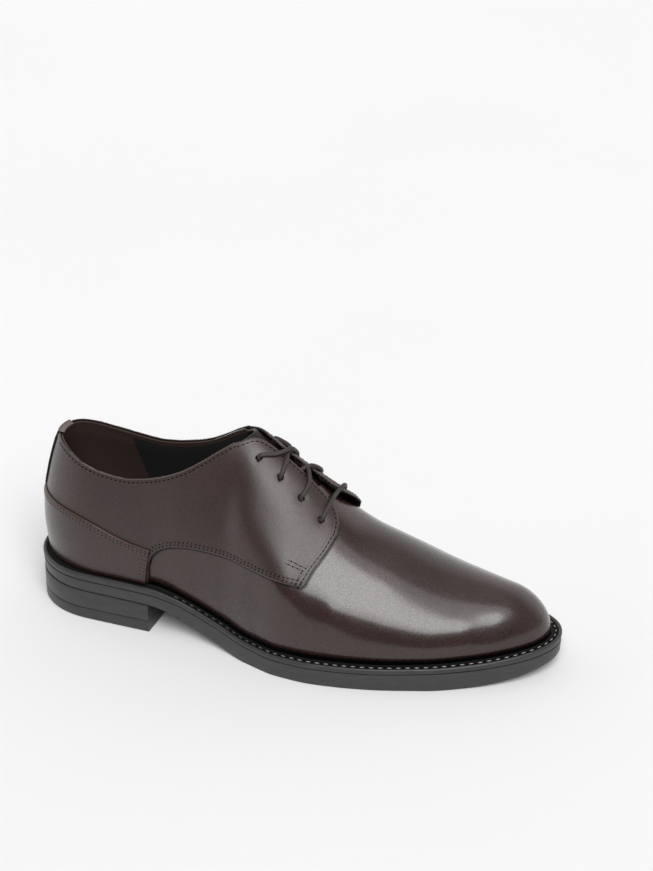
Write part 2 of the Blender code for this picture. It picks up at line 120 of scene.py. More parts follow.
SECTIONS = table(
    ("x", "ridge", "shift", "fullness", "crown", "swell_lateral", "swell_medial"),
    (0, 150.0, 0.0, 1.45, 1.50, 1.5, 1.5),
    (40, 150.0, 0.0, 1.45, 1.55, 2.4, 2.4),
    (80, 147.0, 2.0, 1.45, 1.60, 2.4, 3.5),
    (105, 135.0, 4.5, 1.55, 1.70, 2.2, 6.0),
    (130, 119.0, 7.0, 1.70, 1.80, 2.0, 7.0),
    (155, 100.0, 8.5, 1.90, 1.90, 2.2, 6.0),
    (175, 83.0, 7.0, 2.00, 2.00, 2.6, 4.5),
    (192, 72.3, 5.0, 2.00, 2.00, 3.0, 3.5),
    (212, 63.8, 3.5, 2.00, 2.00, 3.0, 3.0),
    (240, 52.0, 2.8, 2.10, 2.00, 3.0, 3.0),
    (266, 45.0, 2.0, 2.20, 2.10, 2.5, 2.5),
    (282, 41.5, 1.0, 2.30, 2.20, 1.5, 1.5),
    (300, 38.5, 0.0, 2.40, 2.20, 1.0, 1.0),
)
BACK_LINE = table(
    ("x", "lean"),
    (0, 0.0),
    (10, -1.7),
    (22, -3.0),
    (34, -2.8),
    (46, -0.6),
    (58, 2.8),
    (70, 7.0),
    (125, 28.0),
)


# %% Curves through the tables
def curve(rows, name, x):
    """A column of a table at x: a cubic through its rows that never overshoots them."""
    xs = rows["x"]
    ys = rows[name]
    x = np.clip(np.asarray(x, float), xs[0], xs[-1])
    step = np.diff(xs)
    rise = np.diff(ys) / step
    slope = np.zeros(len(xs))
    slope[0] = rise[0]
    slope[-1] = rise[-1]
    for i in range(1, len(xs) - 1):
        if rise[i - 1] * rise[i] > 0:
            a = 2 * step[i] + step[i - 1]
            b = step[i] + 2 * step[i - 1]
            slope[i] = (a + b) / (a / rise[i - 1] + b / rise[i])
    k = np.clip(np.searchsorted(xs, x) - 1, 0, len(step) - 1)
    f = (x - xs[k]) / step[k]
    start = (1 + 2 * f) * (1 - f) ** 2 * ys[k] + f * (1 - f) ** 2 * step[k] * slope[k]
    end = f * f * (3 - 2 * f) * ys[k + 1] + f * f * (f - 1) * step[k] * slope[k + 1]
    return start + end


def end_round(distance, length, power):
    """0 at the end of an outline, 1 from the given length on, as a rounded end."""
    return (1 - (1 - np.clip(distance / length, 0, 1)) ** power) ** (1 / power)


def both_ends(x, start, stop):
    """0 at both ends of the plan and 1 between them, round at the heel and longer at the toe."""
    heel = end_round(x - start, HEEL_CURVE, HEEL_POWER)
    return heel * end_round(stop - x, TOE_CURVE, TOE_POWER)


def along(way, start, stop):
    """Place on x for a share of the way, dense at both ends where the outline turns."""
    return start + (stop - start) * (1 - np.cos(math.pi * way)) / 2


half_widths = [round(float(curve(OUTLINE, side, 190)), 1) for side in ("lateral", "medial")]
print("half widths at the ball in mm:", half_widths)


# %% Plan, seat and tread
def middle(x):
    """Middle line of the sole, which bends toward the medial side at the toe."""
    return (curve(OUTLINE, "medial", x) - curve(OUTLINE, "lateral", x)) / 2


def edge(x, side, inset, start, stop):
    """Sole edge, drawn in by inset, between its ends at start and stop."""
    half = (curve(OUTLINE, "medial", x) + curve(OUTLINE, "lateral", x)) / 2 - inset
    return middle(x) + side * half * both_ends(x, start, stop)


def seat(x):
    """Height of the outsole's top."""
    return curve(PROFILE, "seat", x)


def tread(x):
    """Height of the outsole's underside."""
    return curve(PROFILE, "tread", x)


def feather_height(x):
    """Height of the welt's top, where the upper shows first."""
    return seat(x) + GAP + curve(PROFILE, "welt", x)


UPPER_BACK = float(curve(OUTLINE, "ledge", 0))
UPPER_TOE = LENGTH - float(curve(OUTLINE, "ledge", LENGTH))
SIDE_MIDDLE = (OUTLINE["medial"].max() - OUTLINE["lateral"].max()) / 2


def place(points):
    """Millimetres from the heel's back to metres from the middle of the footprint."""
    return (np.asarray(points, float) - (LENGTH / 2, SIDE_MIDDLE, 0.0)) * 0.001


def way_of(x):
    """Share of the way for a place on x, between the upper's back and toe."""
    share = (x - UPPER_BACK) / (UPPER_TOE - UPPER_BACK)
    return np.arccos(np.clip(1 - 2 * share, -1, 1)) / math.pi


def way_x(way):
    """Place on x for a share of the way along the upper."""
    return along(way, UPPER_BACK, UPPER_TOE)


print("upper from x", round(UPPER_BACK, 1), "to", round(UPPER_TOE, 1), "mm")

# %% [markdown]
# ## The skin of the upper
# All panels of the upper lie on one skin, so it is one function of two numbers: how far along the
# shoe, and how far across, from -1 at the outer welt over 0 on the ridge to 1 at the inner welt. A
# sculpted mesh would do for one panel, but the layers over it would have to be fitted by hand.
# Moved out along its own normal, this one function carries quarter, heel panel, stitches and lace.

# %% Skin function
SWELL_PEAK = 12.2  # makes the largest value of up * (1 - up) ** 4 one
LEAN_REACH = 85.0
BALL = 190.0


def crown_height(x):
    """Rise of the upper from the welt to its ridge; it closes at the toe."""
    rise = curve(SECTIONS, "ridge", x) - feather_height(x)
    return rise * end_round(UPPER_TOE - x, TOE_WALL, TOE_WALL_POWER)


def across_at(x, height):
    """Share of the way down from the ridge at which the upper has this height."""
    share = (height - feather_height(x)) / np.maximum(crown_height(x), 0.001)
    return np.sqrt(np.clip(1 - share, 0, 1))


def form(way, across):
    """Outer face of the upper: across is -1 at the lateral welt, 0 on the ridge, 1 medial."""
    way, across = np.broadcast_arrays(np.asarray(way, float), np.asarray(across, float))
    x = way_x(way)
    side = np.where(across < 0, -1.0, 1.0)
    up = 1 - across**2
    ends = both_ends(x, UPPER_BACK, UPPER_TOE)
    foot = edge(x, side, curve(OUTLINE, "ledge", x), UPPER_BACK, UPPER_TOE)
    ridge = middle(x) + curve(SECTIONS, "shift", x) * ends
    arc = np.clip(1 - up ** curve(SECTIONS, "fullness", x), 0, 1)
    arc = arc ** (1 / curve(SECTIONS, "crown", x))
    outer_swell = curve(SECTIONS, "swell_lateral", x)
    swell = np.where(side < 0, outer_swell, curve(SECTIONS, "swell_medial", x))
    bulge = side * swell * ends * SWELL_PEAK * up * (1 - up) ** 4
    y = ridge + (foot - ridge) * arc + bulge
    rise = up * crown_height(x)
    lean = curve(BACK_LINE, "lean", rise) * np.clip(1 - x / LEAN_REACH, 0, 1) ** 2
    return np.stack([x + lean, y, feather_height(x) + rise], axis=-1)


def normal(way, across):
    """Outward normal of the upper's face."""
    way, across = np.broadcast_arrays(np.asarray(way, float), np.asarray(across, float))
    tiny = 0.001
    ahead = form(np.clip(way + tiny, 0, 1), across) - form(np.clip(way - tiny, 0, 1), across)
    over = form(way, np.clip(across + tiny, -1, 1)) - form(way, np.clip(across - tiny, -1, 1))
    cross = np.cross(ahead, over)
    size = np.linalg.norm(cross, axis=-1, keepdims=True)
    pole = size < 1e-9
    return np.where(pole, (1.0, 0.0, 0.0), cross / np.where(pole, 1.0, size))


print("ridge over the ball in mm:", np.round(form(way_of(BALL), 0.0), 1).tolist())

# %% [markdown]
# ## Creases
# Leather is never as even as the last. Noise would put swells and hollows anywhere, and a
# highlight shows each of them, so those of this shoe are listed one by one. Each row is a line
# over the skin, the width of its soft trough or ridge, and a height in millimetres, below zero
# for a trough. They are added to the skin itself, so all layers bend together. GIRTH turns a step
# across into millimetres.

# %% Soft troughs and ridges
GIRTH = 75.0
CREASES = table(
    ("x0", "across0", "x1", "across1", "wide", "high"),
    (110, -0.34, 118, -0.44, 15.0, -1.0),
    (132, -0.46, 142, -0.58, 14.0, 1.0),
    (134, -0.62, 162, -0.69, 9.0, 1.9),
    (100, -0.84, 160, -0.79, 13.0, 1.3),
    (160, -0.08, 180, -0.18, 13.0, 1.6),
    (164, -0.775, 186, -0.735, 11.5, 1.5),
    (190, -0.72, 254, -0.70, 11.0, 1.1),
    (118, 0.62, 132, 0.66, 16.0, -0.8),
    (148, 0.16, 174, 0.22, 15.0, 1.0),
    (190, 0.50, 206, 0.40, 10.0, -0.4),
)


def relief(way, across):
    """Height of the creases over the plain skin."""
    x = way_x(way)
    total = np.zeros(np.broadcast(x, across).shape)
    for k in range(len(CREASES["x0"])):
        row = {name: column[k] for name, column in CREASES.items()}
        run = np.array([row["x1"] - row["x0"], (row["across1"] - row["across0"]) * GIRTH])
        dx = x - row["x0"]
        dy = (across - row["across0"]) * GIRTH
        share = np.clip((dx * run[0] + dy * run[1]) / (run @ run), 0, 1)
        gap = np.hypot(dx - share * run[0], dy - share * run[1])
        total = total + row["high"] * np.exp(-((gap / row["wide"]) ** 2))
    return total


def skin(way, across, off=0.0):
    """The creased upper, moved out by off along its normal."""
    way, across = np.broadcast_arrays(np.asarray(way, float), np.asarray(across, float))
    lift = np.asarray(off, float) + relief(way, across)
    return form(way, across) + lift[..., None] * normal(way, across)


low, high = CREASES["high"].min(), CREASES["high"].max()
print(len(CREASES["x0"]), "creases, from", low, "to", high, "mm")

# %% [markdown]
# ## Meshes from grids
# Every piece is a set of grids of points, welded where they meet. Values such as the distance to
# the cut edge are kept on the face corners, where welding can't blur them, so that a finish can
# read them. A point that was given no value counts as far from every edge.

# %% Grid builder
FAR = 50.0
WELD = 0.00001
SLIVER = 0.000002


def put(name, data):
    """A new object in the scene, at the origin."""
    thing = bpy.data.objects.new(name, data)
    bpy.context.scene.collection.objects.link(thing)
    return thing


class Piece:
    """Collects grids of points for one mesh, with looks for grids and values for points."""

    def __init__(self):
        self.points = []
        self.faces = []
        self.looks = []
        self.values = {}
        self.count = 0

    def grid(self, rows, look=0, **values):
        """Adds a grid, an array (rows, columns, 3); values have one number for each point."""
        rows = np.asarray(rows, float)
        height, width = rows.shape[:2]
        index = self.count + np.arange(height * width).reshape(height, width)
        near, far = index[:-1], index[1:]
        quads = np.stack([near[:, :-1], near[:, 1:], far[:, 1:], far[:, :-1]], axis=-1)
        self.points.append(rows.reshape(-1, 3))
        self.faces.extend(quads.reshape(-1, 4).tolist())
        self.looks.extend([look] * ((height - 1) * (width - 1)))
        for name, numbers in values.items():
            full = np.broadcast_to(np.asarray(numbers, float), (height, width)).ravel()
            self.values.setdefault(name, []).append((self.count, full))
        self.count += height * width

    def cap(self, ring, look=0):
        """Adds one face through a ring of points."""
        ring = np.asarray(ring, float)
        self.points.append(ring)
        self.faces.append(list(range(self.count, self.count + len(ring))))
        self.looks.append(look)
        self.count += len(ring)

    def build(self, name, looks, sharp=45.0):
        """Makes the object: welded, faces outward, smooth but for edges sharper than the angle."""
        mesh = bpy.data.meshes.new(name)
        mesh.from_pydata(place(np.concatenate(self.points)).tolist(), [], self.faces)
        mesh.polygons.foreach_set("material_index", self.looks)
        corner = np.zeros(len(mesh.loops), np.int32)
        mesh.loops.foreach_get("vertex_index", corner)
        for key, parts in self.values.items():
            numbers = np.full(self.count, FAR)
            for first, part in parts:
                numbers[first : first + len(part)] = part
            layer = mesh.attributes.new(key, "FLOAT", "CORNER")
            layer.data.foreach_set("value", numbers[corner].astype(np.float32))
        work = bmesh.new()
        work.from_mesh(mesh)
        bmesh.ops.remove_doubles(work, verts=work.verts, dist=WELD)
        bmesh.ops.dissolve_degenerate(work, edges=work.edges, dist=SLIVER)
        bmesh.ops.recalc_face_normals(work, faces=work.faces)
        work.to_mesh(mesh)
        work.free()
        for look in looks:
            mesh.materials.append(look)
        mesh.shade_smooth()
        mesh.set_sharp_from_angle(angle=math.radians(sharp))
        return put(name, mesh)


# %% Closed layers and their edges
CHUNK = 40


def shell(outer, inner, look=0, **values):
    """Closed layer between two grids of the same size."""
    piece = Piece()
    piece.grid(outer, look, **values)
    piece.grid(inner, look, **values)
    for border in (np.s_[0], np.s_[-1], np.s_[:, 0], np.s_[:, -1]):
        strip = {name: np.stack([numbers[border]] * 2) for name, numbers in values.items()}
        piece.grid([outer[border], inner[border]], look, **strip)
    return piece


def finish(thing, slot, *nodes):
    """Lets a piece ride on the shoe, in place of the solids it stands for."""
    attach(thing, "root")
    if nodes:
        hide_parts(*nodes)
    print(thing.name, len(thing.data.polygons), "faces")
    return thing


def distance_to(points, line):
    """Distance of every point of a grid to the nearest point of a line."""
    flat = points.reshape(-1, 3)
    nearest = np.full(len(flat), 1e9)
    for start in range(0, len(line), CHUNK):
        part = line[start : start + CHUNK]
        gap = np.linalg.norm(flat[:, None, :] - part[None, :, :], axis=-1)
        nearest = np.minimum(nearest, gap.min(axis=1))
    return nearest.reshape(points.shape[:-1])


def tangents(line):
    """Direction of a line at each of its points."""
    ahead = np.gradient(line, axis=0)
    return ahead / np.linalg.norm(ahead, axis=1, keepdims=True)


def steps_of(line):
    """Distance from each point of a line to the next."""
    return np.linalg.norm(np.diff(line, axis=0), axis=1)


def rounding(distance, radius):
    """0 on a cut edge, 1 from the radius on, as a quarter circle."""
    return np.sqrt(np.clip(1 - (1 - np.clip(distance / radius, 0, 1)) ** 2, 0, 1))


def soft(share):
    """0 below 0, 1 above 1, smooth between them."""
    share = np.clip(share, 0, 1)
    return share**2 * (3 - 2 * share)


print("an edge at half its radius is", round(float(rounding(0.5, 1.0)), 2), "thick")

# %% [markdown]
# ## Finishes as sums
# A finish is a tree of shader nodes. Written as sums it reads like the idea behind it, so a small
# class wraps a node's output: adding or multiplying two of them puts in the Math node for it.


# %% Values of nodes
class Value:
    """One output of a node; sums and products written with it add Math nodes."""

    def __init__(self, graph, socket):
        self.graph = graph
        self.socket = socket

    def maths(self, operation, *numbers):
        """A Math node on values and numbers."""
        return self.graph.add("ShaderNodeMath", {"operation": operation}, numbers)

    def __add__(self, other):
        return self.maths("ADD", self, other)

    def __radd__(self, other):
        return self.maths("ADD", other, self)

    def __sub__(self, other):
        return self.maths("SUBTRACT", self, other)

    def __rsub__(self, other):
        return self.maths("SUBTRACT", other, self)

    def __mul__(self, other):
        return self.maths("MULTIPLY", self, other)

    def __rmul__(self, other):
        return self.maths("MULTIPLY", other, self)

    def sine(self):
        """Sine of the value, in radians."""
        return self.maths("SINE", self)

    def ramp(self, low, high):
        """0 below low, 1 above high, smooth between them; falls where low is the larger."""
        inputs = {"Value": self, "From Min": low, "From Max": high}
        settings = {"interpolation_type": "SMOOTHSTEP"}
        return self.graph.add("ShaderNodeMapRange", settings, inputs)


# %% Graph of nodes
class Graph:
    """Adds nodes to a tree by their type, settings and sockets."""

    def __init__(self, tree):
        self.tree = tree

    def add(self, kind, settings=None, inputs=(), output=0):
        """A node with its settings, then its sockets by name or order, as one of its outputs."""
        node = self.tree.nodes.new(kind)
        for name, setting in (settings or {}).items():
            setattr(node, name, setting)
        pairs = inputs.items() if isinstance(inputs, dict) else enumerate(inputs)
        for key, value in pairs:
            if isinstance(value, Value):
                self.tree.links.new(value.socket, node.inputs[key])
            else:
                node.inputs[key].default_value = value
        return Value(self, node.outputs[output])

    def mix(self, share, first, second):
        """Colour between two, which may be constants; a Mix node has its colours on 6 and 7."""
        pair = [(*c, 1.0) if isinstance(c, tuple) else c for c in (first, second)]
        inputs = {0: share, 6: pair[0], 7: pair[1]}
        return self.add("ShaderNodeMix", {"data_type": "RGBA"}, inputs, 2)

    def part(self, vector, axis):
        """One of the three numbers of a vector."""
        return self.add("ShaderNodeSeparateXYZ", {}, {"Vector": vector}, axis)

    def spots(self, place, scale, detail=2.0):
        """Soft noise from 0 to 1, with so many features to the metre."""
        inputs = {"Vector": place, "Scale": scale, "Detail": detail}
        return self.add("ShaderNodeTexNoise", {"noise_dimensions": "3D"}, inputs, "Fac")

    def cells(self, place, scale):
        """Distance to the border of packed cells, as in the grain of leather."""
        inputs = {"Vector": place, "Scale": scale}
        settings = {"feature": "DISTANCE_TO_EDGE"}
        return self.add("ShaderNodeTexVoronoi", settings, inputs, "Distance")

    def reading(self, name):
        """A value kept on the mesh."""
        return self.add("ShaderNodeAttribute", {"attribute_name": name}, (), "Fac")

    def bump(self, height, depth):
        """Normal that follows a height from 0 to 1, so many metres deep."""
        inputs = {"Height": height, "Distance": depth, "Strength": 1.0}
        return self.add("ShaderNodeBump", {}, inputs, "Normal")


def look_of(name, constants, paint):
    """A finish: constants go on the shader's own sockets, paint returns what varies."""
    look = bpy.data.materials.new(name)
    look.use_nodes = True
    shader = look.node_tree.nodes["Principled BSDF"]
    for socket, value in constants.items():
        shader.inputs[socket].default_value = value
    graph = Graph(look.node_tree)
    spot = graph.add("ShaderNodeTexCoord", {}, (), "Object")
    for socket, value in paint(graph, spot).items():
        look.node_tree.links.new(value.socket, shader.inputs[socket])
    return look


# %% [markdown]
# ## Calf leather
# Polished calf has a very fine grain, a tone that drifts a little over the hide, and a wax finish
# that is shinier in some places than in others. A picture of leather would do, but it has one
# scale and would have to be wrapped round each panel, while sums of noise fit all of them. Packed
# cells and fine spots make the grain, as bump, and broad spots the unevenness under it. Folded
# edges are rubbed lighter and carry a painted highlight, cut ones are dyed black, and seams are
# pressed in. Painted shade makes the leather black at its foot and beside a panel over it, and
# darkens the tongue in its slot.

# %% Paint for leather
HIDE_DARK = (0.0156, 0.0048, 0.0036)
HIDE_LIGHT = (0.0252, 0.0085, 0.0065)
# Near black: painted shade at the vamp's foot, beside the quarters and over the tongue, and also the
# dye of cut edges.
SHADE_AND_DYE_BLACK = (0.0011, 0.0010, 0.0010)
ROW_WIDE = 0.9
GRAIN_DEPTH = 0.00004


def hide_paint(
    rim_tone=None, rim_wide=0.0, rows=(), dull=0.0, fold="rim", foot=False, shine=1.0
):
    """Paint for polished calf; rows are the sewn lines, as distances from the edge."""

    def paint(graph, spot):
        cloud = graph.spots(spot, 30.0, 3.0)
        fleck = graph.spots(spot, 700.0, 2.0)
        tone = graph.mix(cloud.ramp(0.3, 0.7) * 0.7 + fleck * 0.3, HIDE_DARK, HIDE_LIGHT)
        grain = graph.spots(spot, 1700.0, 1.0).ramp(0.34, 0.66)
        pores = graph.cells(spot, 1500.0).ramp(0.0, 0.12)
        height = pores * 0.7 + grain * 0.6 + graph.spots(spot, 130.0) * 3.0
        polish = (grain * 0.36 + 0.72) * shine
        # Painted shade: black along the vamp's foot over the welt and in the narrow gap beside a
        # quarter's edge, with the wax's mirror taken away there too.
        if foot:
            low = graph.reading("foot").ramp(8.0, 5.0)
            shade = low.maths("MAXIMUM", low, graph.reading("lap").ramp(1.6, 0.5))
            tone = graph.mix(shade, tone, SHADE_AND_DYE_BLACK)
            polish = polish * (1 - shade * 0.9)
        if rim_tone:
            rim = graph.reading("rim")
            # Edge tone: on folded edges rubbing and a painted highlight, on the heel panel's raw
            # edge the cut leather's own colour.
            tone = graph.mix(graph.reading(fold).ramp(rim_wide, 0.1), tone, rim_tone)
            if fold != "rim":
                # Cut edges are dyed black and take no polish.
                cut = rim.ramp(0.3, 0.1)
                tone = graph.mix(cut, tone, SHADE_AND_DYE_BLACK)
                polish = polish * (1 - cut * 0.85)
            for row in rows:
                dip = rim.ramp(row - ROW_WIDE, row) * rim.ramp(row + ROW_WIDE, row)
                height = height - dip * 2.5
        gloss = graph.spots(spot, 90.0, 3.0) * 0.08 + grain * 0.06 + 0.18 + dull
        # Painted shade: with less than full light the whole piece is darkened toward black and its
        # polish cut, as for the tongue in its shaded slot.
        if shine < 1:
            tone = graph.mix(1 - shine, tone, SHADE_AND_DYE_BLACK)
        return {
            "Base Color": tone,
            "Roughness": gloss,
            "Coat Weight": polish,
            "Normal": graph.bump(height, GRAIN_DEPTH),
        }

    return paint


# %% Leather finishes
# Folded edges are rubbed lighter, and their tone is raised further as a painted highlight of the
# round edge.
RUBBED_RIM_AND_HIGHLIGHT = (0.105, 0.078, 0.068)
RAW_RIM = (0.066, 0.033, 0.025)
QUARTER_ROWS = (1.6, 3.3)
PANEL_ROWS = (1.3, 3.0)


def calf(name, wax, **paint):
    """A calf leather; wax is the roughness of its finish, from mirror (0) to dull (1)."""
    constants = {"IOR": 1.36, "Coat Roughness": wax, "Coat IOR": 1.5}
    return look_of(name, constants, hide_paint(**paint))


folded = {"rim_tone": RUBBED_RIM_AND_HIGHLIGHT, "fold": "fold"}
vamp_look = calf("vamp_calf", 0.17, foot=True)
quarter_look = calf("quarter_calf", 0.42, rim_wide=0.85, rows=QUARTER_ROWS, dull=0.14, **folded)
raw = {"rim_tone": RAW_RIM, "rim_wide": 0.55}
counter_look = calf("counter_calf", 0.3, rows=PANEL_ROWS, dull=0.12, **raw)
strip_look = calf("strip_calf", 0.3, rim_wide=2.0, dull=0.2, **folded)
# The tongue is darkened toward black with most of its polish gone: painted shade of the slot it lies
# in.
tongue_look = calf("tongue_calf", 0.3, rim_tone=RUBBED_RIM_AND_HIGHLIGHT, rim_wide=0.7, dull=0.3, shine=0.35)
leathers = (vamp_look, quarter_look, counter_look, strip_look, tongue_look)
print("leather finishes:", ", ".join(look.name for look in leathers))

# %% [markdown]
# ## Rubber, thread, cord and lining
# The sole unit is moulded rubber: dark grey, dull, with faint marks from the mould along its side,
# which are noise drawn out by a Mapping node. Thread is waxed and takes a soft light; on the welt
# it is painted darker in the waist, as shade. The lace is a round braid, so its bump follows the
# cord's own length and turn. The lining is brown leather round the heel and black cloth in front
# of it, with a zigzag seam between.


# %% Paints for rubber and thread
def rubber_paint(dark, light):
    """Paint for moulded rubber, with faint streaks along the side."""

    def paint(graph, spot):
        drawn_out = {"Vector": spot, "Scale": (0.25, 0.25, 3.0)}
        streak = graph.add("ShaderNodeMapping", {}, drawn_out)
        lines = graph.spots(streak, 420.0, 3.0)
        dust = graph.spots(spot, 1400.0, 2.0)
        tone = graph.mix(lines.ramp(0.25, 0.75) * 0.6 + dust * 0.4, dark, light)
        return {
            "Base Color": tone,
            "Roughness": 0.35 + dust * 0.14,
            "Normal": graph.bump(dust * 0.6 + lines * 0.4, 0.00005),
        }

    return paint


def plain_paint(dark, light, scale, rough, waist_shade=None):
    """Paint for small things: two tones in soft spots, and painted shade for the shoe's waist."""

    def paint(graph, spot):
        dust = graph.spots(spot, scale, 2.0)
        tone = graph.mix(dust.ramp(0.25, 0.75), dark, light)
        if waist_shade:
            # Painted shade: toward the heel from about the shoe's middle the tone turns to the
            # waist's dark, where the thread lies under the welt's lip.
            tone = graph.mix(graph.part(spot, "X").ramp(0.035, -0.02), tone, waist_shade)
        return {
            "Base Color": tone,
            "Roughness": rough + dust * 0.1,
            "Normal": graph.bump(dust, 0.00004),
        }

    return paint


# %% Paints for cord and lining
STRANDS = 4.2
TWO_TURNS = 12.566
SEAM_LEAN = 0.26
SEAM_PLACE = 0.0845
ZIGZAG = 2100.0
ZIGZAG_HIGH = 0.0004
WEAVE = 9000.0


def braid_paint(graph, spot):
    """Paint for the lace: strands wind both ways round the cord."""
    run = graph.reading("run")
    turn = graph.reading("turn")
    one = (run * STRANDS + turn * TWO_TURNS).sine()
    two = (run * STRANDS - turn * TWO_TURNS).sine()
    strands = one * two * 0.5 + 0.5
    dust = graph.spots(spot, 2500.0)
    share = strands * 0.7 + dust * 0.3
    return {
        "Base Color": graph.mix(share, (0.014, 0.0105, 0.0095), (0.050, 0.040, 0.036)),
        "Roughness": 0.5 + dust * 0.15,
        "Normal": graph.bump(strands, 0.00012),
    }


def lining_paint(graph, spot):
    """Paint for the lining: leather behind the seam and in a band under the collar, or cloth."""
    x = graph.part(spot, "X")
    z = graph.part(spot, "Z")
    border = x + z * SEAM_LEAN + SEAM_PLACE + (z * ZIGZAG).sine() * ZIGZAG_HIGH
    cloth = border.ramp(-0.0002, 0.0002) * graph.reading("rim").ramp(2.4, 2.7)
    weave = (x * WEAVE).sine() * (z * WEAVE).sine() * 0.5 + 0.5
    dust = graph.spots(spot, 900.0, 3.0)
    leather_tone = graph.mix(dust, (0.030, 0.017, 0.014), (0.052, 0.032, 0.026))
    threads = weave * 0.6 + dust * 0.4
    cloth_tone = graph.mix(threads, (0.002, 0.002, 0.002), (0.009, 0.008, 0.008))
    return {
        "Base Color": graph.mix(cloth, leather_tone, cloth_tone),
        "Roughness": 0.55 + cloth * 0.3,
        "Normal": graph.bump(dust * (1 - cloth) + weave * cloth, 0.00006),
    }


# %% Other finishes
RUBBER = ((0.027, 0.025, 0.026), (0.048, 0.045, 0.046))
WELT_RUBBER = ((0.022, 0.020, 0.020), (0.042, 0.039, 0.039))
# Near black: painted shade in the welt's channel.
CHANNEL_SHADE = ((0.003, 0.0027, 0.0027), (0.007, 0.0062, 0.0062))
# Near black with little mirror: painted shade inside needle holes and eyelets.
HOLE_SHADE = ((0.002, 0.0015, 0.0015), (0.004, 0.003, 0.003))
SOCK = ((0.020, 0.012, 0.010), (0.040, 0.025, 0.020))
PALE = ((0.30, 0.28, 0.265), (0.50, 0.475, 0.45))
# Painted shade for the welt thread in the waist.
PALE_WAIST_SHADE = (0.115, 0.106, 0.1)
SATIN = {"IOR": 1.45}
WAXED = {"IOR": 1.45, "Coat Weight": 0.1, "Coat Roughness": 0.4}


def thread_of(name, dark, light, rough=0.45, waist_shade=None):
    """Waxed sewing thread."""
    return look_of(name, SATIN, plain_paint(dark, light, 1800.0, rough, waist_shade))


def painted_shade_of(name, tones, shine, rough):
    """Painted shade of a hole or channel: near black, and it hardly mirrors anything."""
    return look_of(name, {"Specular IOR Level": shine}, plain_paint(*tones, 900.0, rough))


outsole_look = look_of("sole_rubber", {"IOR": 1.48}, rubber_paint(*RUBBER))
lift_look = look_of("lift_rubber_dull", SATIN, rubber_paint(*RUBBER))
welt_look = look_of("welt_rubber_edge", {"IOR": 1.48}, rubber_paint(*WELT_RUBBER))
channel_shade_look = painted_shade_of("welt_channel_shade", CHANNEL_SHADE, 0.2, 0.7)
thread_look = thread_of("brown_thread", (0.026, 0.015, 0.012), (0.055, 0.034, 0.027))
quarter_thread_look = thread_of("dull_thread", (0.048, 0.033, 0.027), (0.095, 0.068, 0.057))
light_thread_look = thread_of("tan_thread", (0.075, 0.038, 0.028), (0.14, 0.078, 0.058))
welt_thread_look = thread_of("pale_thread", *PALE, 0.5, PALE_WAIST_SHADE)
hole_shade_look = painted_shade_of("needle_hole_shade", HOLE_SHADE, 0.1, 0.8)
lace_look = look_of("waxed_braid", WAXED, braid_paint)
lining_look = look_of("lining", SATIN, lining_paint)
sock_look = look_of("sock_leather", SATIN, plain_paint(*SOCK, 500.0, 0.55))
print("finishes in all:", len(bpy.data.materials))

# %% [markdown]
# ## The lace's route
# One round lace runs through all eight eyelets. It lies as a straight bar over the lowest pair,
# goes in there and comes up through the next pair. Each strand then crosses the slot, dives under
# the opposite facing, comes up through the next eyelet, crosses again and ends inside the top
# eyelet. The route is laid out first, because leather and tongue under the facings are pressed in
# where it runs hidden.

# %% Eyelets and facings
QUARTER_THICK = 1.2
LACE = 2.5
LACE_SLACK = 0.15
EYELETS = table(
    ("x", "across"),
    (134.6, 0.250),
    (147.4, 0.242),
    (159.6, 0.248),
    (171.6, 0.264),
)
OVER = LAYER_GAP + QUARTER_THICK + LACE / 2
UNDER = LAYER_GAP - LACE / 2 - LACE_SLACK
IN_HOLE = 0.6
DIP = 0.3
NOSE = 181.2
FACING_LIFT = 0.5
NOSE_SPRING = 3.0


def quarter_lift(x, across):
    """How far a facing stands off the tongue; the inner one springs up at its nose."""
    near = np.clip(1 - np.abs(across) / 0.5, 0, 1) ** 2
    front = np.clip((x - 120) / 30, 0, 1) * np.clip((NOSE - x) / 10 + 0.55, 0, 1)
    inner_only = soft((across - 0.01) / 0.04) * soft(1.25 - np.abs(across) / 0.44)
    return FACING_LIFT * near * front + NOSE_SPRING * inner_only * soft((x - 150) / 27)


print("inner facing stands off by", round(float(quarter_lift(NOSE - 4, 0.1)), 1), "mm at its nose")


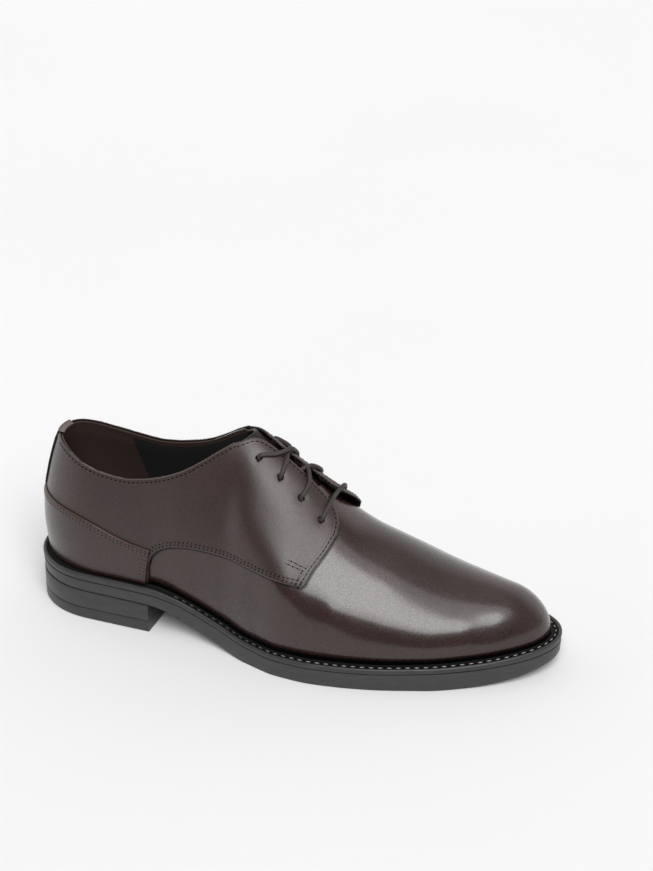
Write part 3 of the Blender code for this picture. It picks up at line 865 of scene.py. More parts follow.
# %% Knots of the lace
def strand(near, first_over):
    """Half of the lace, from the middle of the bar to its hidden end; near is the bar's side."""
    (x1, s1), (x2, s2), (x3, s3), (x4, s4) = zip(EYELETS["x"], EYELETS["across"])
    shift = 2.2 if near < 0 else 1.6
    top = 1.5 if first_over else -1.2
    lean = 7.0 if near < 0 else 9.0
    return [
        (x4, near * 0.0, OVER),
        (x4, near * 0.13, OVER),
        (x4, near * (s4 - 0.03), OVER - DIP),
        (x4, near * s4, IN_HOLE),
        (x4 - 2.2, near * s4, UNDER),
        (x4 - 6.0, near * (s3 + 0.005), UNDER),
        (x3 + 2.2, near * s3, UNDER),
        (x3, near * s3, IN_HOLE),
        (x3 + 0.1, near * (s3 - 0.03), OVER - DIP),
        (x3 - 2.2 + shift, near * 0.13, OVER),
        (x3 - 4.6 + shift, near * 0.055, OVER - 0.1),
        (x3 - 6.0 + shift, near * 0.0, 1.2),
        (x3 - 7.2 + shift, -near * 0.055, UNDER + 0.1),
        (x3 - 9.0 + shift, -near * 0.13, UNDER),
        (x2 + 1.6, -near * (s2 - 0.02), UNDER),
        (x2, -near * s2, IN_HOLE),
        (x2 - 0.1, -near * (s2 - 0.03), OVER - DIP),
        (x2 - 0.7, -near * 0.12, OVER),
        (x2 - 2.2, 0.0, OVER + top),
        (x1 + lean, near * 0.12, OVER),
        (x1 + 0.9, near * (s1 - 0.03), OVER - DIP),
        (x1, near * s1, IN_HOLE),
        (x1 + 2.0, near * s1, UNDER),
        (x1 + 5.0, near * s1, UNDER),
    ]


print("each half of the lace has", len(strand(-1, True)), "knots")

# %% Lace route
LACE_STEPS = 8


def smooth_line(knots, steps):
    """Points of a curve through the knots."""
    knots = np.asarray(knots, float)
    knots = np.concatenate([[2 * knots[0] - knots[1]], knots, [2 * knots[-1] - knots[-2]]])
    line = []
    for k in range(1, len(knots) - 2):
        a, b, c, d = knots[k - 1 : k + 3]
        for f in np.linspace(0, 1, steps, endpoint=False):
            bend = (2 * a - 5 * b + 4 * c - d) * f**2 + (3 * b - a - 3 * c + d) * f**3
            line.append(0.5 * (2 * b + (c - a) * f + bend))
    line.append(knots[-2])
    return np.array(line)


lateral = strand(-1, True)
medial = strand(1, False)
route = np.array(lateral[::-1] + medial[1:])
lifted = route[:, 2] + quarter_lift(route[:, 0], route[:, 1])
lace_line = smooth_line(skin(way_of(route[:, 0]), route[:, 1], lifted), LACE_STEPS)
below = route[:, 2] < 0
hidden = np.repeat(below[:-1] | below[1:], LACE_STEPS)
hidden_lace = lace_line[:-1][hidden]
lace_length = steps_of(lace_line).sum()
print("lace of", round(lace_length), "mm through", 2 * len(EYELETS["x"]), "eyelets")

# %% [markdown]
# ## The lace
# The lace is a round cord. A curve with a round bevel would do, but its mesh has no numbers for
# the braid. Here a ring is carried along the line, turned as little as possible from step to step,
# and each point keeps how far along and how far round the cord it lies.


# %% Lace
def cord(line, radius, sides):
    """Round cord along a line; run and turn tell the finish where it is on the cord."""
    ahead = tangents(line)
    first = np.cross(ahead[0], (0.0, 0.0, 1.0))
    frames = []
    for step in ahead:
        first = first - step * (first @ step)
        first = first / np.linalg.norm(first)
        frames.append(first)
    first = np.array(frames)
    second = np.cross(ahead, first)
    share = np.linspace(0, 1, sides + 1)
    turn = 2 * math.pi * share[None, :, None]
    ring = np.cos(turn) * first[:, None] + np.sin(turn) * second[:, None]
    rows = line[:, None] + radius * ring
    length = np.concatenate([[0], np.cumsum(steps_of(line))])
    piece = Piece()
    piece.grid(rows, run=np.repeat(length[:, None], sides + 1, axis=1), turn=share[None, :])
    piece.cap(rows[0, :-1])
    piece.cap(rows[-1, :-1])
    return piece


LACE_SIDES = 14
lace = cord(lace_line, LACE / 2, LACE_SIDES).build("lace", [lace_look])
finish(lace, "upper_cord", "lace_bar", "lace_cross_lower", "lace_cross_upper")

# %% [markdown]
# ## Walls of the upper
# Lining and vamp are both walls of leather, from the heel to the toe. Each station of the grid
# runs from the welt up to the free edge of the collar or the throat, so one function makes both.
# Where the lace runs hidden under the facings, the wall is pressed in to make room for it.

# %% Collar and throat
TONGUE_FRONT = 167.0
TONGUE_CORNER = 9.0
COLLAR = table(
    ("x", "top"),
    (0, 99.5),
    (10, 98.8),
    (20, 96.0),
    (32, 92.2),
    (46, 89.6),
    (59, 88.6),
    (71, 90.2),
    (84, 94.0),
    (94, 98.6),
    (104, 105.0),
    (114, 112.2),
    (122, 116.8),
    (129, 118.9),
    (136, 118.0),
)
COLLAR_END = 136
THROAT_HALF = 0.33


def collar(x, drop=0.0):
    """Collar's edge as a value of across, or a line so far under it."""
    return np.where(x < COLLAR_END, across_at(x, curve(COLLAR, "top", x) - drop), 0.0)


def free_edge(x, drop=0.0):
    """Free edge of the upper: the collar, then the opening for the tongue."""
    throat = THROAT_HALF * end_round(TONGUE_FRONT - x, TONGUE_CORNER, 2.0)
    return np.where(x < TONGUE_FRONT, np.maximum(collar(x, drop), throat), 0.0)


def upper_ways(count):
    """Stations of the upper, with more of them where the throat's opening turns."""
    corner = TONGUE_CORNER * (1 - np.cos(math.pi / 2 * np.linspace(0, 1, 9)))
    return np.unique(np.concatenate([np.linspace(0, 1, count), way_of(TONGUE_FRONT - corner)]))


print("collar from", COLLAR["top"].min(), "to", COLLAR["top"].max(), "mm")

# %% Walls from welt to collar
PRESS = 2.1
PRESS_FLAT = 2.0
PRESS_FADE = 2.2


def pressed(points):
    """How far leather under the facings is pressed in by the lace."""
    gap = distance_to(points, hidden_lace)
    return PRESS * (1 - soft((gap - PRESS_FLAT) / PRESS_FADE))


def wall(ways, top, rows, offs, **values):
    """Hollow wall from the welt to the free edge, between two offsets from the skin."""
    x = way_x(ways)
    share = np.linspace(0, 1, rows + 1)[None, :]
    open_part = slice(0, int(np.argmax(top <= 0)) + 1)
    piece = Piece()
    for side in (-1, 1):
        across = side * (1 - share + top[:, None] * share)
        plain = skin(ways[:, None], across)
        dip = pressed(plain)
        faces = []
        for off in offs:
            level = off(plain) if callable(off) else off
            grid = skin(ways[:, None], across, level - dip)
            grid[0, :, 1] = 0.0
            toe = UPPER_TOE + np.min(level)
            grid[-1] = (toe, middle(UPPER_TOE), feather_height(UPPER_TOE))
            grid[:, 0, 2] = feather_height(x)
            foot = grid[:, :1].copy()
            foot[:, 0, 2] = seat(x) + SEAT_GAP
            faces.append(np.concatenate([foot, grid], axis=1))
        outer, inner = faces
        kept = {name: measure(outer) for name, measure in values.items()}
        piece.grid(outer, **kept)
        piece.grid(inner, **kept)
        piece.grid([outer[:, 0], inner[:, 0]])
        border = {key: np.stack([numbers[open_part, -1]] * 2) for key, numbers in kept.items()}
        piece.grid([outer[open_part, -1], inner[open_part, -1]], **border)
    return piece


deepest = pressed(skin(way_of(EYELETS["x"]), EYELETS["across"])).max()
print("the lace presses the wall in by up to", round(float(deepest), 1), "mm")

# %% [markdown]
# ## Lining
# Inside, a softer skin lies against the leather. At the collar it is rolled over, so that the rim
# seen from above is a soft double edge: the quarter's folded edge outside, the lining's roll
# inside. Both of its faces are offsets that change with the distance to the rim, which needs no
# separate bead.

# %% Lining
WALL = 1.8
RIM_DROP = 0.7
RIM_END = 135
RIM_DEEP = -0.6
EDGE_ROUND = 0.9
lining_ways = upper_ways(150)
lining_x = way_x(lining_ways)
rim_x = lining_x[lining_x < RIM_END]
rims = [skin(way_of(rim_x), side * collar(rim_x, RIM_DROP), RIM_DEEP) for side in (-1, 1)]
rim_line = np.concatenate(rims)


def roll_outer(points):
    """Outer face of the lining, thickened to a roll at the collar."""
    gap = distance_to(points, rim_line)
    roll = np.clip(1 - gap / 3.2, 0, 1)
    return -1.05 + 1.1 * np.sqrt(roll) - 0.7 * (1 - rounding(gap, EDGE_ROUND))


def roll_inner(points):
    """Inner face of the lining, drawn in to the roll's middle at the collar."""
    gap = distance_to(points, rim_line)
    return -WALL + 0.75 * soft(1 - gap / 9.0) + 0.5 * (1 - rounding(gap, EDGE_ROUND))


lining = wall(
    lining_ways,
    free_edge(lining_x, RIM_DROP),
    rows=60,
    offs=(roll_outer, roll_inner),
    rim=lambda grid: distance_to(grid, rim_line),
)
lining = lining.build("lining", [lining_look])
finish(lining, "insole_leather", "upper")

# %% [markdown]
# ## Outline of the quarters
# The quarters are the two side panels that are laced together. Their outline comes before the
# vamp, because the vamp darkens beside it. It is held as two edges over x, an upper and a lower
# one, which meet at the nose of the facing: that keeps the panel one plain grid, with no cut
# through its faces.

# %% Quarter edges
QUARTER_LOW = table(
    ("x", "low"),
    (76, 30.0),
    (77, 42.0),
    (79, 47.5),
    (84, 52.3),
    (91, 55.3),
    (100, 56.8),
    (112, 57.3),
    (127, 57.3),
    (140, 56.4),
    (153, 55.0),
    (171, 52.3),
)
FACING = table(
    ("x", "edge"),
    (121, 0.295),
    (125, 0.228),
    (127.2, 0.182),
    (130, 0.130),
    (132.5, 0.099),
    (136.5, 0.068),
    (141, 0.055),
    (148, 0.052),
    (154, 0.056),
    (165, 0.065),
)
QUARTER_FRONT = table(
    ("x", "upper", "lower"),
    (165, 0.065, 0.700),
    (171, 0.080, 0.683),
    (175, 0.110, 0.567),
    (178, 0.155, 0.475),
    (180, 0.205, 0.390),
    (NOSE, 0.275, 0.290),
)
QUARTER_BACK = 76.0
FACING_END = 165.0
LOW_END = 171.0
LOW_BEND = 92.0
BACK_BEND = 20.0


def quarter_edges(x):
    """Lower and upper edge of a quarter as values of across."""
    foot = feather_height(x) + GAP
    low = np.maximum(curve(QUARTER_LOW, "low", x), foot)
    lower = across_at(x, np.where(x < QUARTER_BACK, foot, low))
    lower = np.where(x < LOW_END, lower, curve(QUARTER_FRONT, "lower", x))
    upper = np.maximum(collar(x), curve(FACING, "edge", x))
    upper = np.where(x < FACING_END, upper, curve(QUARTER_FRONT, "upper", x))
    return lower, upper


def stations(start, bend, stop, dense, sparse):
    """Places on x along an edge, denser up to the place where it stops bending."""
    return np.concatenate([np.linspace(start, bend, dense), np.linspace(bend + 0.5, stop, sparse)])


front_x = LOW_END + (NOSE - LOW_END) * np.sin(math.pi / 2 * np.linspace(0, 1, 30))
longest = np.linalg.norm(form(way_of(NOSE), 0.28) - form(way_of(UPPER_BACK), 0.6))
print("a quarter is about", round(float(longest)), "mm long")

# %% [markdown]
# ## Vamp
# The vamp is the plain leather over the toes, drawn back under the quarters to the heel. The deep
# shade in the narrow gap beside a quarter's edge is too fine for the lamps to give, so it is
# painted black: a line is laid a little inside the quarter's edge, and the vamp keeps its distance
# to that line, less the inset, as a value. Its height over the welt is kept too, for the painted
# shade along its foot.

# %% Vamp
LAP_INSET = 3.0
CORNER_CLEAR = 0.93
VAMP_THICK = 1.0
VAMP_DROP = 3.6
VAMP_BACK = 2.6


def lap_line(side):
    """Line under a quarter, so far inside its lower and front edge."""
    low_x = np.concatenate([stations(77.2, LOW_BEND, 170.8, 80, 160), front_x])
    top_x = np.concatenate([front_x[-2::-1], np.linspace(170.5, 160.0, 20)])
    way = way_of(np.concatenate([low_x, top_x]))
    across = side * np.concatenate([quarter_edges(low_x)[0], quarter_edges(top_x)[1]])
    rim = skin(way, across)
    line = rim - side * LAP_INSET * np.cross(normal(way, across), tangents(rim))
    return line[distance_to(line, rim) > CORNER_CLEAR * LAP_INSET]


lap_lines = np.concatenate([lap_line(side) for side in (-1, 1)])
vamp_ways = upper_ways(230)
vamp = wall(
    vamp_ways,
    free_edge(way_x(vamp_ways) + VAMP_BACK, VAMP_DROP),
    rows=56,
    offs=(0.0, -VAMP_THICK),
    # Height over the welt and distance past the quarters' edges, which place the painted shade.
    foot=lambda grid: grid[..., 2] - grid[:, :1, 2],
    lap=lambda grid: distance_to(grid, lap_lines) - LAP_INSET,
)
vamp = vamp.build("vamp", [vamp_look])
finish(vamp, "vamp_leather", "upper")

# %% [markdown]
# ## Quarters
# The edges of the quarters are thinned and folded, so each panel swells from nothing at the edge
# to its full thickness within a millimetre. The eyelets are plain punched holes with no metal. A
# grid has no holes, so a drill of four round bars cuts them, and the leather dips a little round
# each.

# %% Eyelets
EYELET_RADIUS = 1.75


def eyelet_points(side, off):
    """Middles of one side's eyelets."""
    return skin(way_of(EYELETS["x"]), side * EYELETS["across"], off)


def plain_mesh(thing, change):
    """Gives an object the mesh that a modifier makes of it, and removes the modifier."""
    bpy.context.view_layer.update()
    made = thing.evaluated_get(bpy.context.evaluated_depsgraph_get())
    mesh = bpy.data.meshes.new_from_object(made)
    thing.modifiers.remove(change)
    thing.data = mesh


def drilled(thing, side):
    """Cuts one side's eyelets with round bars."""
    drill = Piece()
    for low, high in zip(eyelet_points(side, -1.0), eyelet_points(side, 4.0)):
        axis = (high - low) / np.linalg.norm(high - low)
        first = np.cross(axis, (1.0, 0.0, 0.0))
        first /= np.linalg.norm(first)
        turn = np.linspace(0, 2 * math.pi, 29)[:, None]
        ring = EYELET_RADIUS * (np.cos(turn) * first + np.sin(turn) * np.cross(axis, first))
        drill.grid([low + ring, high + ring])
        drill.cap((low + ring)[:-1])
        drill.cap((high + ring)[:-1])
    # The drill carries the near-black hole finish, and the boolean hands it to the eyelet walls as
    # painted shade.
    tool = drill.build("eyelet_drill", [hole_shade_look])
    cut = thing.modifiers.new("eyelets", "BOOLEAN")
    cut.operation = "DIFFERENCE"
    cut.solver = "EXACT"
    cut.material_mode = "TRANSFER"
    cut.object = tool
    plain_mesh(thing, cut)
    bpy.data.objects.remove(tool, do_unlink=True)
    return thing


print("eyelets", np.round(steps_of(eyelet_points(-1, 0.0)), 1).tolist(), "mm apart")

# %% Quarters
DIMPLE = 0.35
DIMPLE_WIDE = 3.0
FRONT_FOLD = 166.0
back_x = way_x(np.linspace(0.004, float(way_of(QUARTER_BACK)), 60))
low_x = QUARTER_BACK + 16.0 * np.linspace(0, 1, 34) ** 1.6
top_x = np.linspace(92.6, 170.4, 100)
QUARTER_X = np.unique(np.concatenate([back_x, low_x, top_x, front_x]))


def quarter_line(side, which, off):
    """Lower (0) or upper (1) edge of a quarter as points, from the back to the nose."""
    if which == 0:
        x = stations(77.0, LOW_BEND, LOW_END, 80, 160)
    else:
        x = stations(UPPER_BACK + 0.05, BACK_BEND, LOW_END, 60, 300)
    x = np.concatenate([x, front_x])
    return skin(way_of(x), side * quarter_edges(x)[which], off)


def quarter(name, side, slot):
    """One quarter, from the back seam to the nose of the facing."""
    lower, upper = quarter_edges(QUARTER_X)
    share = (1 - np.cos(math.pi * np.linspace(0, 1, 52)))[None, :] / 2
    across = side * (lower[:, None] * (1 - share) + upper[:, None] * share)
    ways = way_of(QUARTER_X)[:, None]
    plain = skin(ways, across, LAYER_GAP)
    low_gap = distance_to(plain, quarter_line(side, 0, LAYER_GAP))
    top_gap = distance_to(plain, quarter_line(side, 1, LAYER_GAP))
    rim = np.minimum(low_gap, top_gap)
    lift = LAYER_GAP + quarter_lift(QUARTER_X[:, None], across)
    hole_gap = distance_to(plain, eyelet_points(side, LAYER_GAP))
    dimple = DIMPLE * np.exp(-((hole_gap / DIMPLE_WIDE) ** 2))
    thick = QUARTER_THICK * rounding(rim, 1.0) - dimple * (rim > 1.0)
    outer = skin(ways, across, lift + thick)
    fold = np.where(QUARTER_X[:, None] > FRONT_FOLD, rim, top_gap)
    panel = shell(outer, skin(ways, across, lift), rim=rim, fold=fold)
    thing = panel.build(name, [quarter_look])
    return finish(drilled(thing, side), slot, name.replace("panel", "quarter"))


quarter("panel_lateral", -1, "lateral_leather")
quarter("panel_medial", 1, "medial_leather")

# %% [markdown]
# ## Heel panel and back strip
# The heel panel wraps the back over both quarters. Its top edge is cut raw and shows as a thin
# lighter line. Above it a narrow strip covers the back seam; at the top it is folded over the rim
# and stuck down inside, which gives the small tab on the collar. Both cross the back seam, so each
# is made as two grids, one for each side, which are joined there.

# %% Heel panel
COUNTER_TOP = table(
    ("x", "top"),
    (0, 66.0),
    (16, 64.9),
    (30, 63.4),
    (43, 60.2),
    (55, 56.0),
    (67, 52.8),
    (79, 51.2),
)
COUNTER_THICK = 1.1
COUNTER_OFF = LAYER_GAP + QUARTER_THICK + GAP
COUNTER_FRONT = 78.0
COUNTER_SLANT = 3.2


def both_sides(make):
    """Joins the two sides at the back seam; make gives an outer and an inner grid and a rim."""
    halves = {side: make(side) for side in (-1, 1)}
    for outer, inner, _ in halves.values():
        outer[0, :, 1] = 0.0
        inner[0, :, 1] = 0.0
    return [np.concatenate([right[:0:-1], left]) for right, left in zip(halves[1], halves[-1])]


def counter_place(side, x, share):
    """Way and across on the heel panel, from its foot (0) to its top edge (1)."""
    low = across_at(x, feather_height(x) + 1.5 * GAP)
    high = across_at(x, curve(COUNTER_TOP, "top", x))
    slant = COUNTER_SLANT * (x / COUNTER_FRONT) ** 8 * (1 - share)
    return way_of(x - slant), side * (low * (1 - share) + high * share)


def counter_grids(side):
    """Outer and inner face of one half of the heel panel, and the distance to its top edge."""
    way = 1 - np.cos(math.pi / 2 * np.linspace(0, 1, 90))
    near_front = COUNTER_FRONT - np.array([0.1, 0.25, 0.45, 0.7, 1.0, 1.4])
    x = np.concatenate([UPPER_BACK + (COUNTER_FRONT - UPPER_BACK) * way, near_front])
    x = np.unique(x)[:, None]
    share = 1 - (1 - np.linspace(0, 1, 34)[None, :]) ** 1.7
    ways, across = counter_place(side, x, share)
    plain = skin(ways, across, COUNTER_OFF)
    rim = distance_to(plain, plain[:, -1])
    cut = np.minimum(rim, distance_to(plain, plain[-1]))
    outer = skin(ways, across, COUNTER_OFF + COUNTER_THICK * rounding(cut, 0.6))
    for grid in (outer, plain):
        grid[..., 2] = np.maximum(grid[..., 2], feather_height(grid[..., 0]) + GAP)
    return outer, plain, rim


outer, inner, rim = both_sides(counter_grids)
counter = shell(outer, inner, rim=rim).build("heel_panel", [counter_look])
finish(counter, "counter_leather", "counter")


# %% Back strip
STRIP_WAY = 0.046
STRIP_MM = 220.0  # millimetres of skin to a whole of way, near the back
STRIP_THICK = 0.9
STRIP_TOP = 0.3
FOLD_IN = 1.2
FOLD_DOWN = 1.2


def strip_grids(side):
    """Outer and inner face of one half of the strip, and the distance to its long edge."""
    ways = np.linspace(0.0, STRIP_WAY, 16)[:, None]
    x = way_x(ways)
    low = across_at(x, curve(COUNTER_TOP, "top", x) + 3 * GAP)
    top = curve(COLLAR, "top", x)
    share = np.linspace(0, 1, 30)[None, :]
    outside = low * (1 - share) + collar(x) * share
    fold = np.linspace(0, math.pi, 15)[None, 1:]
    inside = np.linspace(0, 1, 5)[None, 1:] * FOLD_DOWN
    centre = (COUNTER_OFF - FOLD_IN) / 2
    taper = (STRIP_THICK - STRIP_TOP) * np.clip(6 - 6 * share, 0, 1)
    grids = []
    for thick in (STRIP_TOP, 0.0):
        reach = (COUNTER_OFF + FOLD_IN) / 2 + thick
        level = COUNTER_OFF + thick + (taper if thick else 0 * taper)
        tops = across_at(x, top + (0.05 + thick) * np.sin(fold) ** 0.6)
        downs = across_at(x, top - inside)
        across = np.concatenate([outside, tops, downs], axis=1)
        round_top = centre + reach * np.cos(fold)
        back_down = np.full((1, inside.shape[1]), centre - reach)
        off = np.concatenate([level, round_top, back_down], axis=1)
        grids.append(skin(ways, side * across, off))
    rim = np.broadcast_to((STRIP_WAY - ways) * STRIP_MM, grids[0].shape[:2])
    return *grids, rim


outer, inner, rim = both_sides(strip_grids)
fold = distance_to(outer, rim_line) - FOLD_IN
strip = shell(outer, inner, rim=rim, fold=fold).build("back_strip", [strip_look])
finish(strip, "backstay_leather", "backstay")

# %% [markdown]
# ## Tongue
# The tongue lies in the throat under both facings and rises a little over their top, where its
# edge follows the arch of the instep. It is a fan of lines on the same skin, sunk under the
# facings and pressed in by the lace, so it needs no fitting.

# %% Tongue
TONGUE_TOP = 128.5
TONGUE_HALF = 0.318
TONGUE_ARCH = 80.0
TONGUE_EDGE = 0.8
front = TONGUE_FRONT - 0.5
share = (1 - np.cos(math.pi * np.linspace(0, 1, 90)))[:, None] / 2
fan = np.sin(math.pi / 2 * np.linspace(-1, 1, 49))[None, :]
tongue_half = TONGUE_HALF * np.maximum(end_round(share * 48.0, TONGUE_CORNER, 2.0), 0.06)
tongue_across = tongue_half * fan
tongue_x = front + (TONGUE_TOP - TONGUE_ARCH * tongue_across**2 - front) * share
tongue_ways = way_of(tongue_x)
plain = skin(tongue_ways, tongue_across)
rim = distance_to(plain, np.concatenate([plain[0], plain[-1], plain[:, 0], plain[:, -1]]))
hollow = np.exp(-((tongue_across / 0.14) ** 2)) * soft((tongue_x - 121) / 6)
sunk = 0.4 + 1.2 * hollow + 1.2 * soft((tongue_x - 136) / 12) + pressed(plain)
thin = TONGUE_EDGE * (1 - rounding(rim, TONGUE_EDGE))
outer = skin(tongue_ways, tongue_across, -sunk - thin)
inner = skin(tongue_ways, tongue_across, -sunk - WALL + thin)
tongue = shell(outer, inner, rim=rim).build("tongue_leather", [tongue_look])
finish(tongue, "tongue_leather", "tongue")

# %% [markdown]
# ## Sole unit
# Each layer of the sole is a stack of outlines, one for each height, all drawn in from the same
# plan. Where an outline is drawn in a little more, a groove runs round the side. A Bevel modifier
# would round the edges too, but not to a different size at top and bottom. The heel stops in a
# flat breast. The sock is the leather that covers the insole; only its heel is seen through the
# collar.


# %% Stacked outlines
def outline(side, inset, count, stop=None):
    """Points of the plan on one side, drawn in by inset."""
    share = np.linspace(0, 1, count)
    if stop is None:
        x = along(share, inset, LENGTH - inset)
        return x, edge(x, side, inset, inset, LENGTH - inset)
    x = inset + (stop - inset) * (1 - np.cos(math.pi / 2 * share))
    return x, edge(x, side, inset, inset, LENGTH)


def slab(rows, count, stop=None):
    """Solid of stacked outlines: each row is an inset and a height over x."""
    piece = Piece()
    loops = {-1: [], 1: []}
    for side, made in loops.items():
        for inset, height in rows:
            x, y = outline(side, inset, count, stop)
            made.append(np.stack([x, y, height(x) + 0 * x], axis=-1))
        piece.grid(made)
    across = np.linspace(0, 1, 9)[:, None, None]
    for level in (0, -1):
        piece.grid(loops[-1][level][None] * (1 - across) + loops[1][level][None] * across)
    if stop is not None:
        share = np.linspace(0, 1, 9)[None, :, None]
        low = np.array([loop[-1] for loop in loops[-1]])[:, None]
        high = np.array([loop[-1] for loop in loops[1]])[:, None]
        piece.grid(low * (1 - share) + high * share)
    return piece


def at(height):
    """Flat height, the same all along."""
    return lambda x: height


# %% Heel, sole and sock
lift_rows = [(1.5, at(0.0)), (0.9, at(0.25)), (0.6, at(0.9)), (0.5, at(LIFT_TOP - 0.7))]
lift_rows += [(0.5, at(LIFT_TOP - 0.25)), (0.65, at(LIFT_TOP - 0.08)), (1.1, at(LIFT_TOP))]
lift = slab(lift_rows, 90, HEEL_BREAST).build("heel_lift", [lift_look])
finish(lift, "lift_rubber", "top_lift")
block_rows = [(1.1, at(BLOCK_BOTTOM)), (0.6, at(BLOCK_BOTTOM + 0.08))]
block_rows += [(0.5, at(BLOCK_BOTTOM + 0.3))]
block_rows += [(0.4, lambda x: tread(x) - GAP - 0.3), (0.5, lambda x: tread(x) - GAP - 0.08)]
block_rows += [(1.0, lambda x: tread(x) - GAP)]
block = slab(block_rows, 90, HEEL_BREAST).build("heel_stack", [outsole_look])
finish(block, "heel_rubber", "heel_block")
sole_rows = [(1.4, tread), (0.9, lambda x: tread(x) + 0.15), (0.7, lambda x: tread(x) + 0.6)]
sole_rows += [(0.5, lambda x: (tread(x) + seat(x)) / 2), (0.3, lambda x: seat(x) - 1.0)]
sole_rows += [(0.35, lambda x: seat(x) - 0.2), (0.55, lambda x: seat(x) - 0.05), (1.0, seat)]
sole = slab(sole_rows, 240).build("rubber_sole", [outsole_look])
finish(sole, "black_rubber", "outsole")
sock_inset = float(OUTLINE["ledge"].max()) + WALL + 0.5
sock_rows = [(sock_inset, lambda x: seat(x) + SEAT_GAP), (sock_inset, lambda x: seat(x) + 2.3)]
sock_rows += [(sock_inset + 0.3, lambda x: seat(x) + 2.8)]
sock_rows += [(sock_inset + 1.0, lambda x: seat(x) + 3.0)]
sock = slab(sock_rows, 120).build("sock", [sock_look])
finish(sock, "insole_leather", "insole")

# %% [markdown]
# ## Welt
# The welt is the strip that the upper is sewn to. It is a ring with a rounded lip outside, a
# channel behind it for the seam, painted near black as shade, and a slope up to the leather. Each
# row of its table is one line of the ring: how far it is drawn in from the plan, and how far it
# lies under the welt's top.

# %% Welt
WELT_LIP = table(
    ("x", "inset", "drop"),
    (0, 0.5, 9.0),
    (1, 0.15, 2.9),
    (2, 0.0, 2.0),
    (3, 0.0, 1.0),
    (4, 0.2, 0.45),
    (5, 0.55, 0.1),
    (6, 1.0, 0.0),
    (7, 1.45, 0.15),
    (8, 1.8, 0.6),
    (9, 2.6, 1.0),
    (10, 3.8, 1.1),
    (11, 4.9, 0.9),
)
LIP_END = 8
CHANNEL_END = 12


def welt_loops(side, count):
    """Rings of the welt from its underside over the lip to the upper's foot."""
    share = np.linspace(0, 1, count)
    loops = []
    for inset, drop in zip(WELT_LIP["inset"], WELT_LIP["drop"]):
        x = along(share, inset, LENGTH - inset)
        z = np.maximum(feather_height(x) - drop, seat(x) + SEAT_GAP)
        loops.append(np.stack([x, edge(x, side, inset, inset, LENGTH - inset), z], axis=-1))
    x = along(share, UPPER_BACK - GAP, UPPER_TOE + GAP)
    y = edge(x, side, curve(OUTLINE, "ledge", x) - GAP, UPPER_BACK - GAP, UPPER_TOE + GAP)
    for z in (feather_height(x) - 0.5, seat(x) + SEAT_GAP):
        loops.append(np.stack([x, y, z], axis=-1))
    return np.array(loops + [loops[0]])


welt = Piece()
for side in (-1, 1):
    rings = welt_loops(side, 260)
    welt.grid(rings[: LIP_END + 1], 0)
    # The channel rings take the near-black finish, the painted shade of the groove.
    welt.grid(rings[LIP_END : CHANNEL_END + 1], 1)
    welt.grid(rings[CHANNEL_END:], 0)
welt = welt.build("welt_ring", [welt_look, channel_shade_look])
finish(welt, "welt_rubber", "welt")

# %% [markdown]
# ## Seams
# A seam is a line at a fixed distance from an edge. Its points step inward from the edge over the
# skin: the step is split into a bit of way and a bit of across by the skin's own slopes. What
# repeats along the line is left to Geometry Nodes: the line is cut into equal steps, a thread or a
# near-black bead, the painted shade of a needle hole, is set on each step along the tangent, and
# the copies are realized as one plain mesh.


# %% Seam lines
def slopes(way, across):
    """Change of the skin for a small step of way and of across."""
    tiny = 0.0005
    ahead = (form(way + tiny, across) - form(way - tiny, across)) / (2 * tiny)
    over = (form(way, across + tiny) - form(way, across - tiny)) / (2 * tiny)
    return ahead, over


def stepped(way, across, move):
    """Way and across after a move in millimetres over the skin."""
    ahead, over = slopes(way, across)
    aa = (ahead * ahead).sum(-1)
    ao = (ahead * over).sum(-1)
    oo = (over * over).sum(-1)
    am = (ahead * move).sum(-1)
    om = (over * move).sum(-1)
    whole = aa * oo - ao * ao
    return way + (am * oo - om * ao) / whole, across + (om * aa - am * ao) / whole


def inset_line(way, across, inward):
    """Line so many millimetres to the left of an edge, seen from outside and walking along it."""
    left = np.cross(normal(way, across), tangents(form(way, across)))
    return stepped(way, across, inward * left)


def seam(way, across, inward, top):
    """Points of a seam on a panel with its outer face at top, clear of the panel's corners."""
    line_way, line_across = inset_line(way, across, inward)
    rim = form(way, across)
    kept = distance_to(form(line_way, line_across), rim) > CORNER_CLEAR * abs(inward)
    line_way, line_across = line_way[kept], line_across[kept]
    return skin(line_way, line_across, top(way_x(line_way), line_across))


# %% Outer faces of the panels
def quarter_top(x, across):
    """Outer face of a quarter."""
    return LAYER_GAP + QUARTER_THICK + quarter_lift(x, across)


def counter_top(x, across):
    """Outer face of the heel panel."""
    return COUNTER_OFF + COUNTER_THICK


print("heel panel's face", round(counter_top(0, 0), 1), "mm over the skin")

# %% Seams of the panels
EDGE_ROW = 2.1
FRONT_ROWS = (1.6, 3.6)
TAB_ROWS = (
    ((160.8, 0.622), (168.4, 0.606)),
    ((162.0, 0.600), (169.6, 0.585)),
    ((169.6, 0.604), (167.9, 0.672)),
)


def edge_seam(side):
    """Seam along the collar, the facing and the front edge of a quarter."""
    top_x = np.concatenate([stations(13.0, BACK_BEND, LOW_END, 40, 300), front_x])
    top = side * quarter_edges(top_x)[1]
    fore_x = front_x[-2::-1]
    fore = side * curve(QUARTER_FRONT, "lower", fore_x)
    way = way_of(np.concatenate([top_x, fore_x]))
    return seam(way, np.concatenate([top, fore]), side * EDGE_ROW, quarter_top)


def low_seams(side):
    """Two rows along the lower edge of a quarter."""
    x = stations(77.2, LOW_BEND, 169.0, 70, 150)
    low = side * quarter_edges(x)[0]
    return [seam(way_of(x), low, -side * gap, quarter_top) for gap in QUARTER_ROWS]


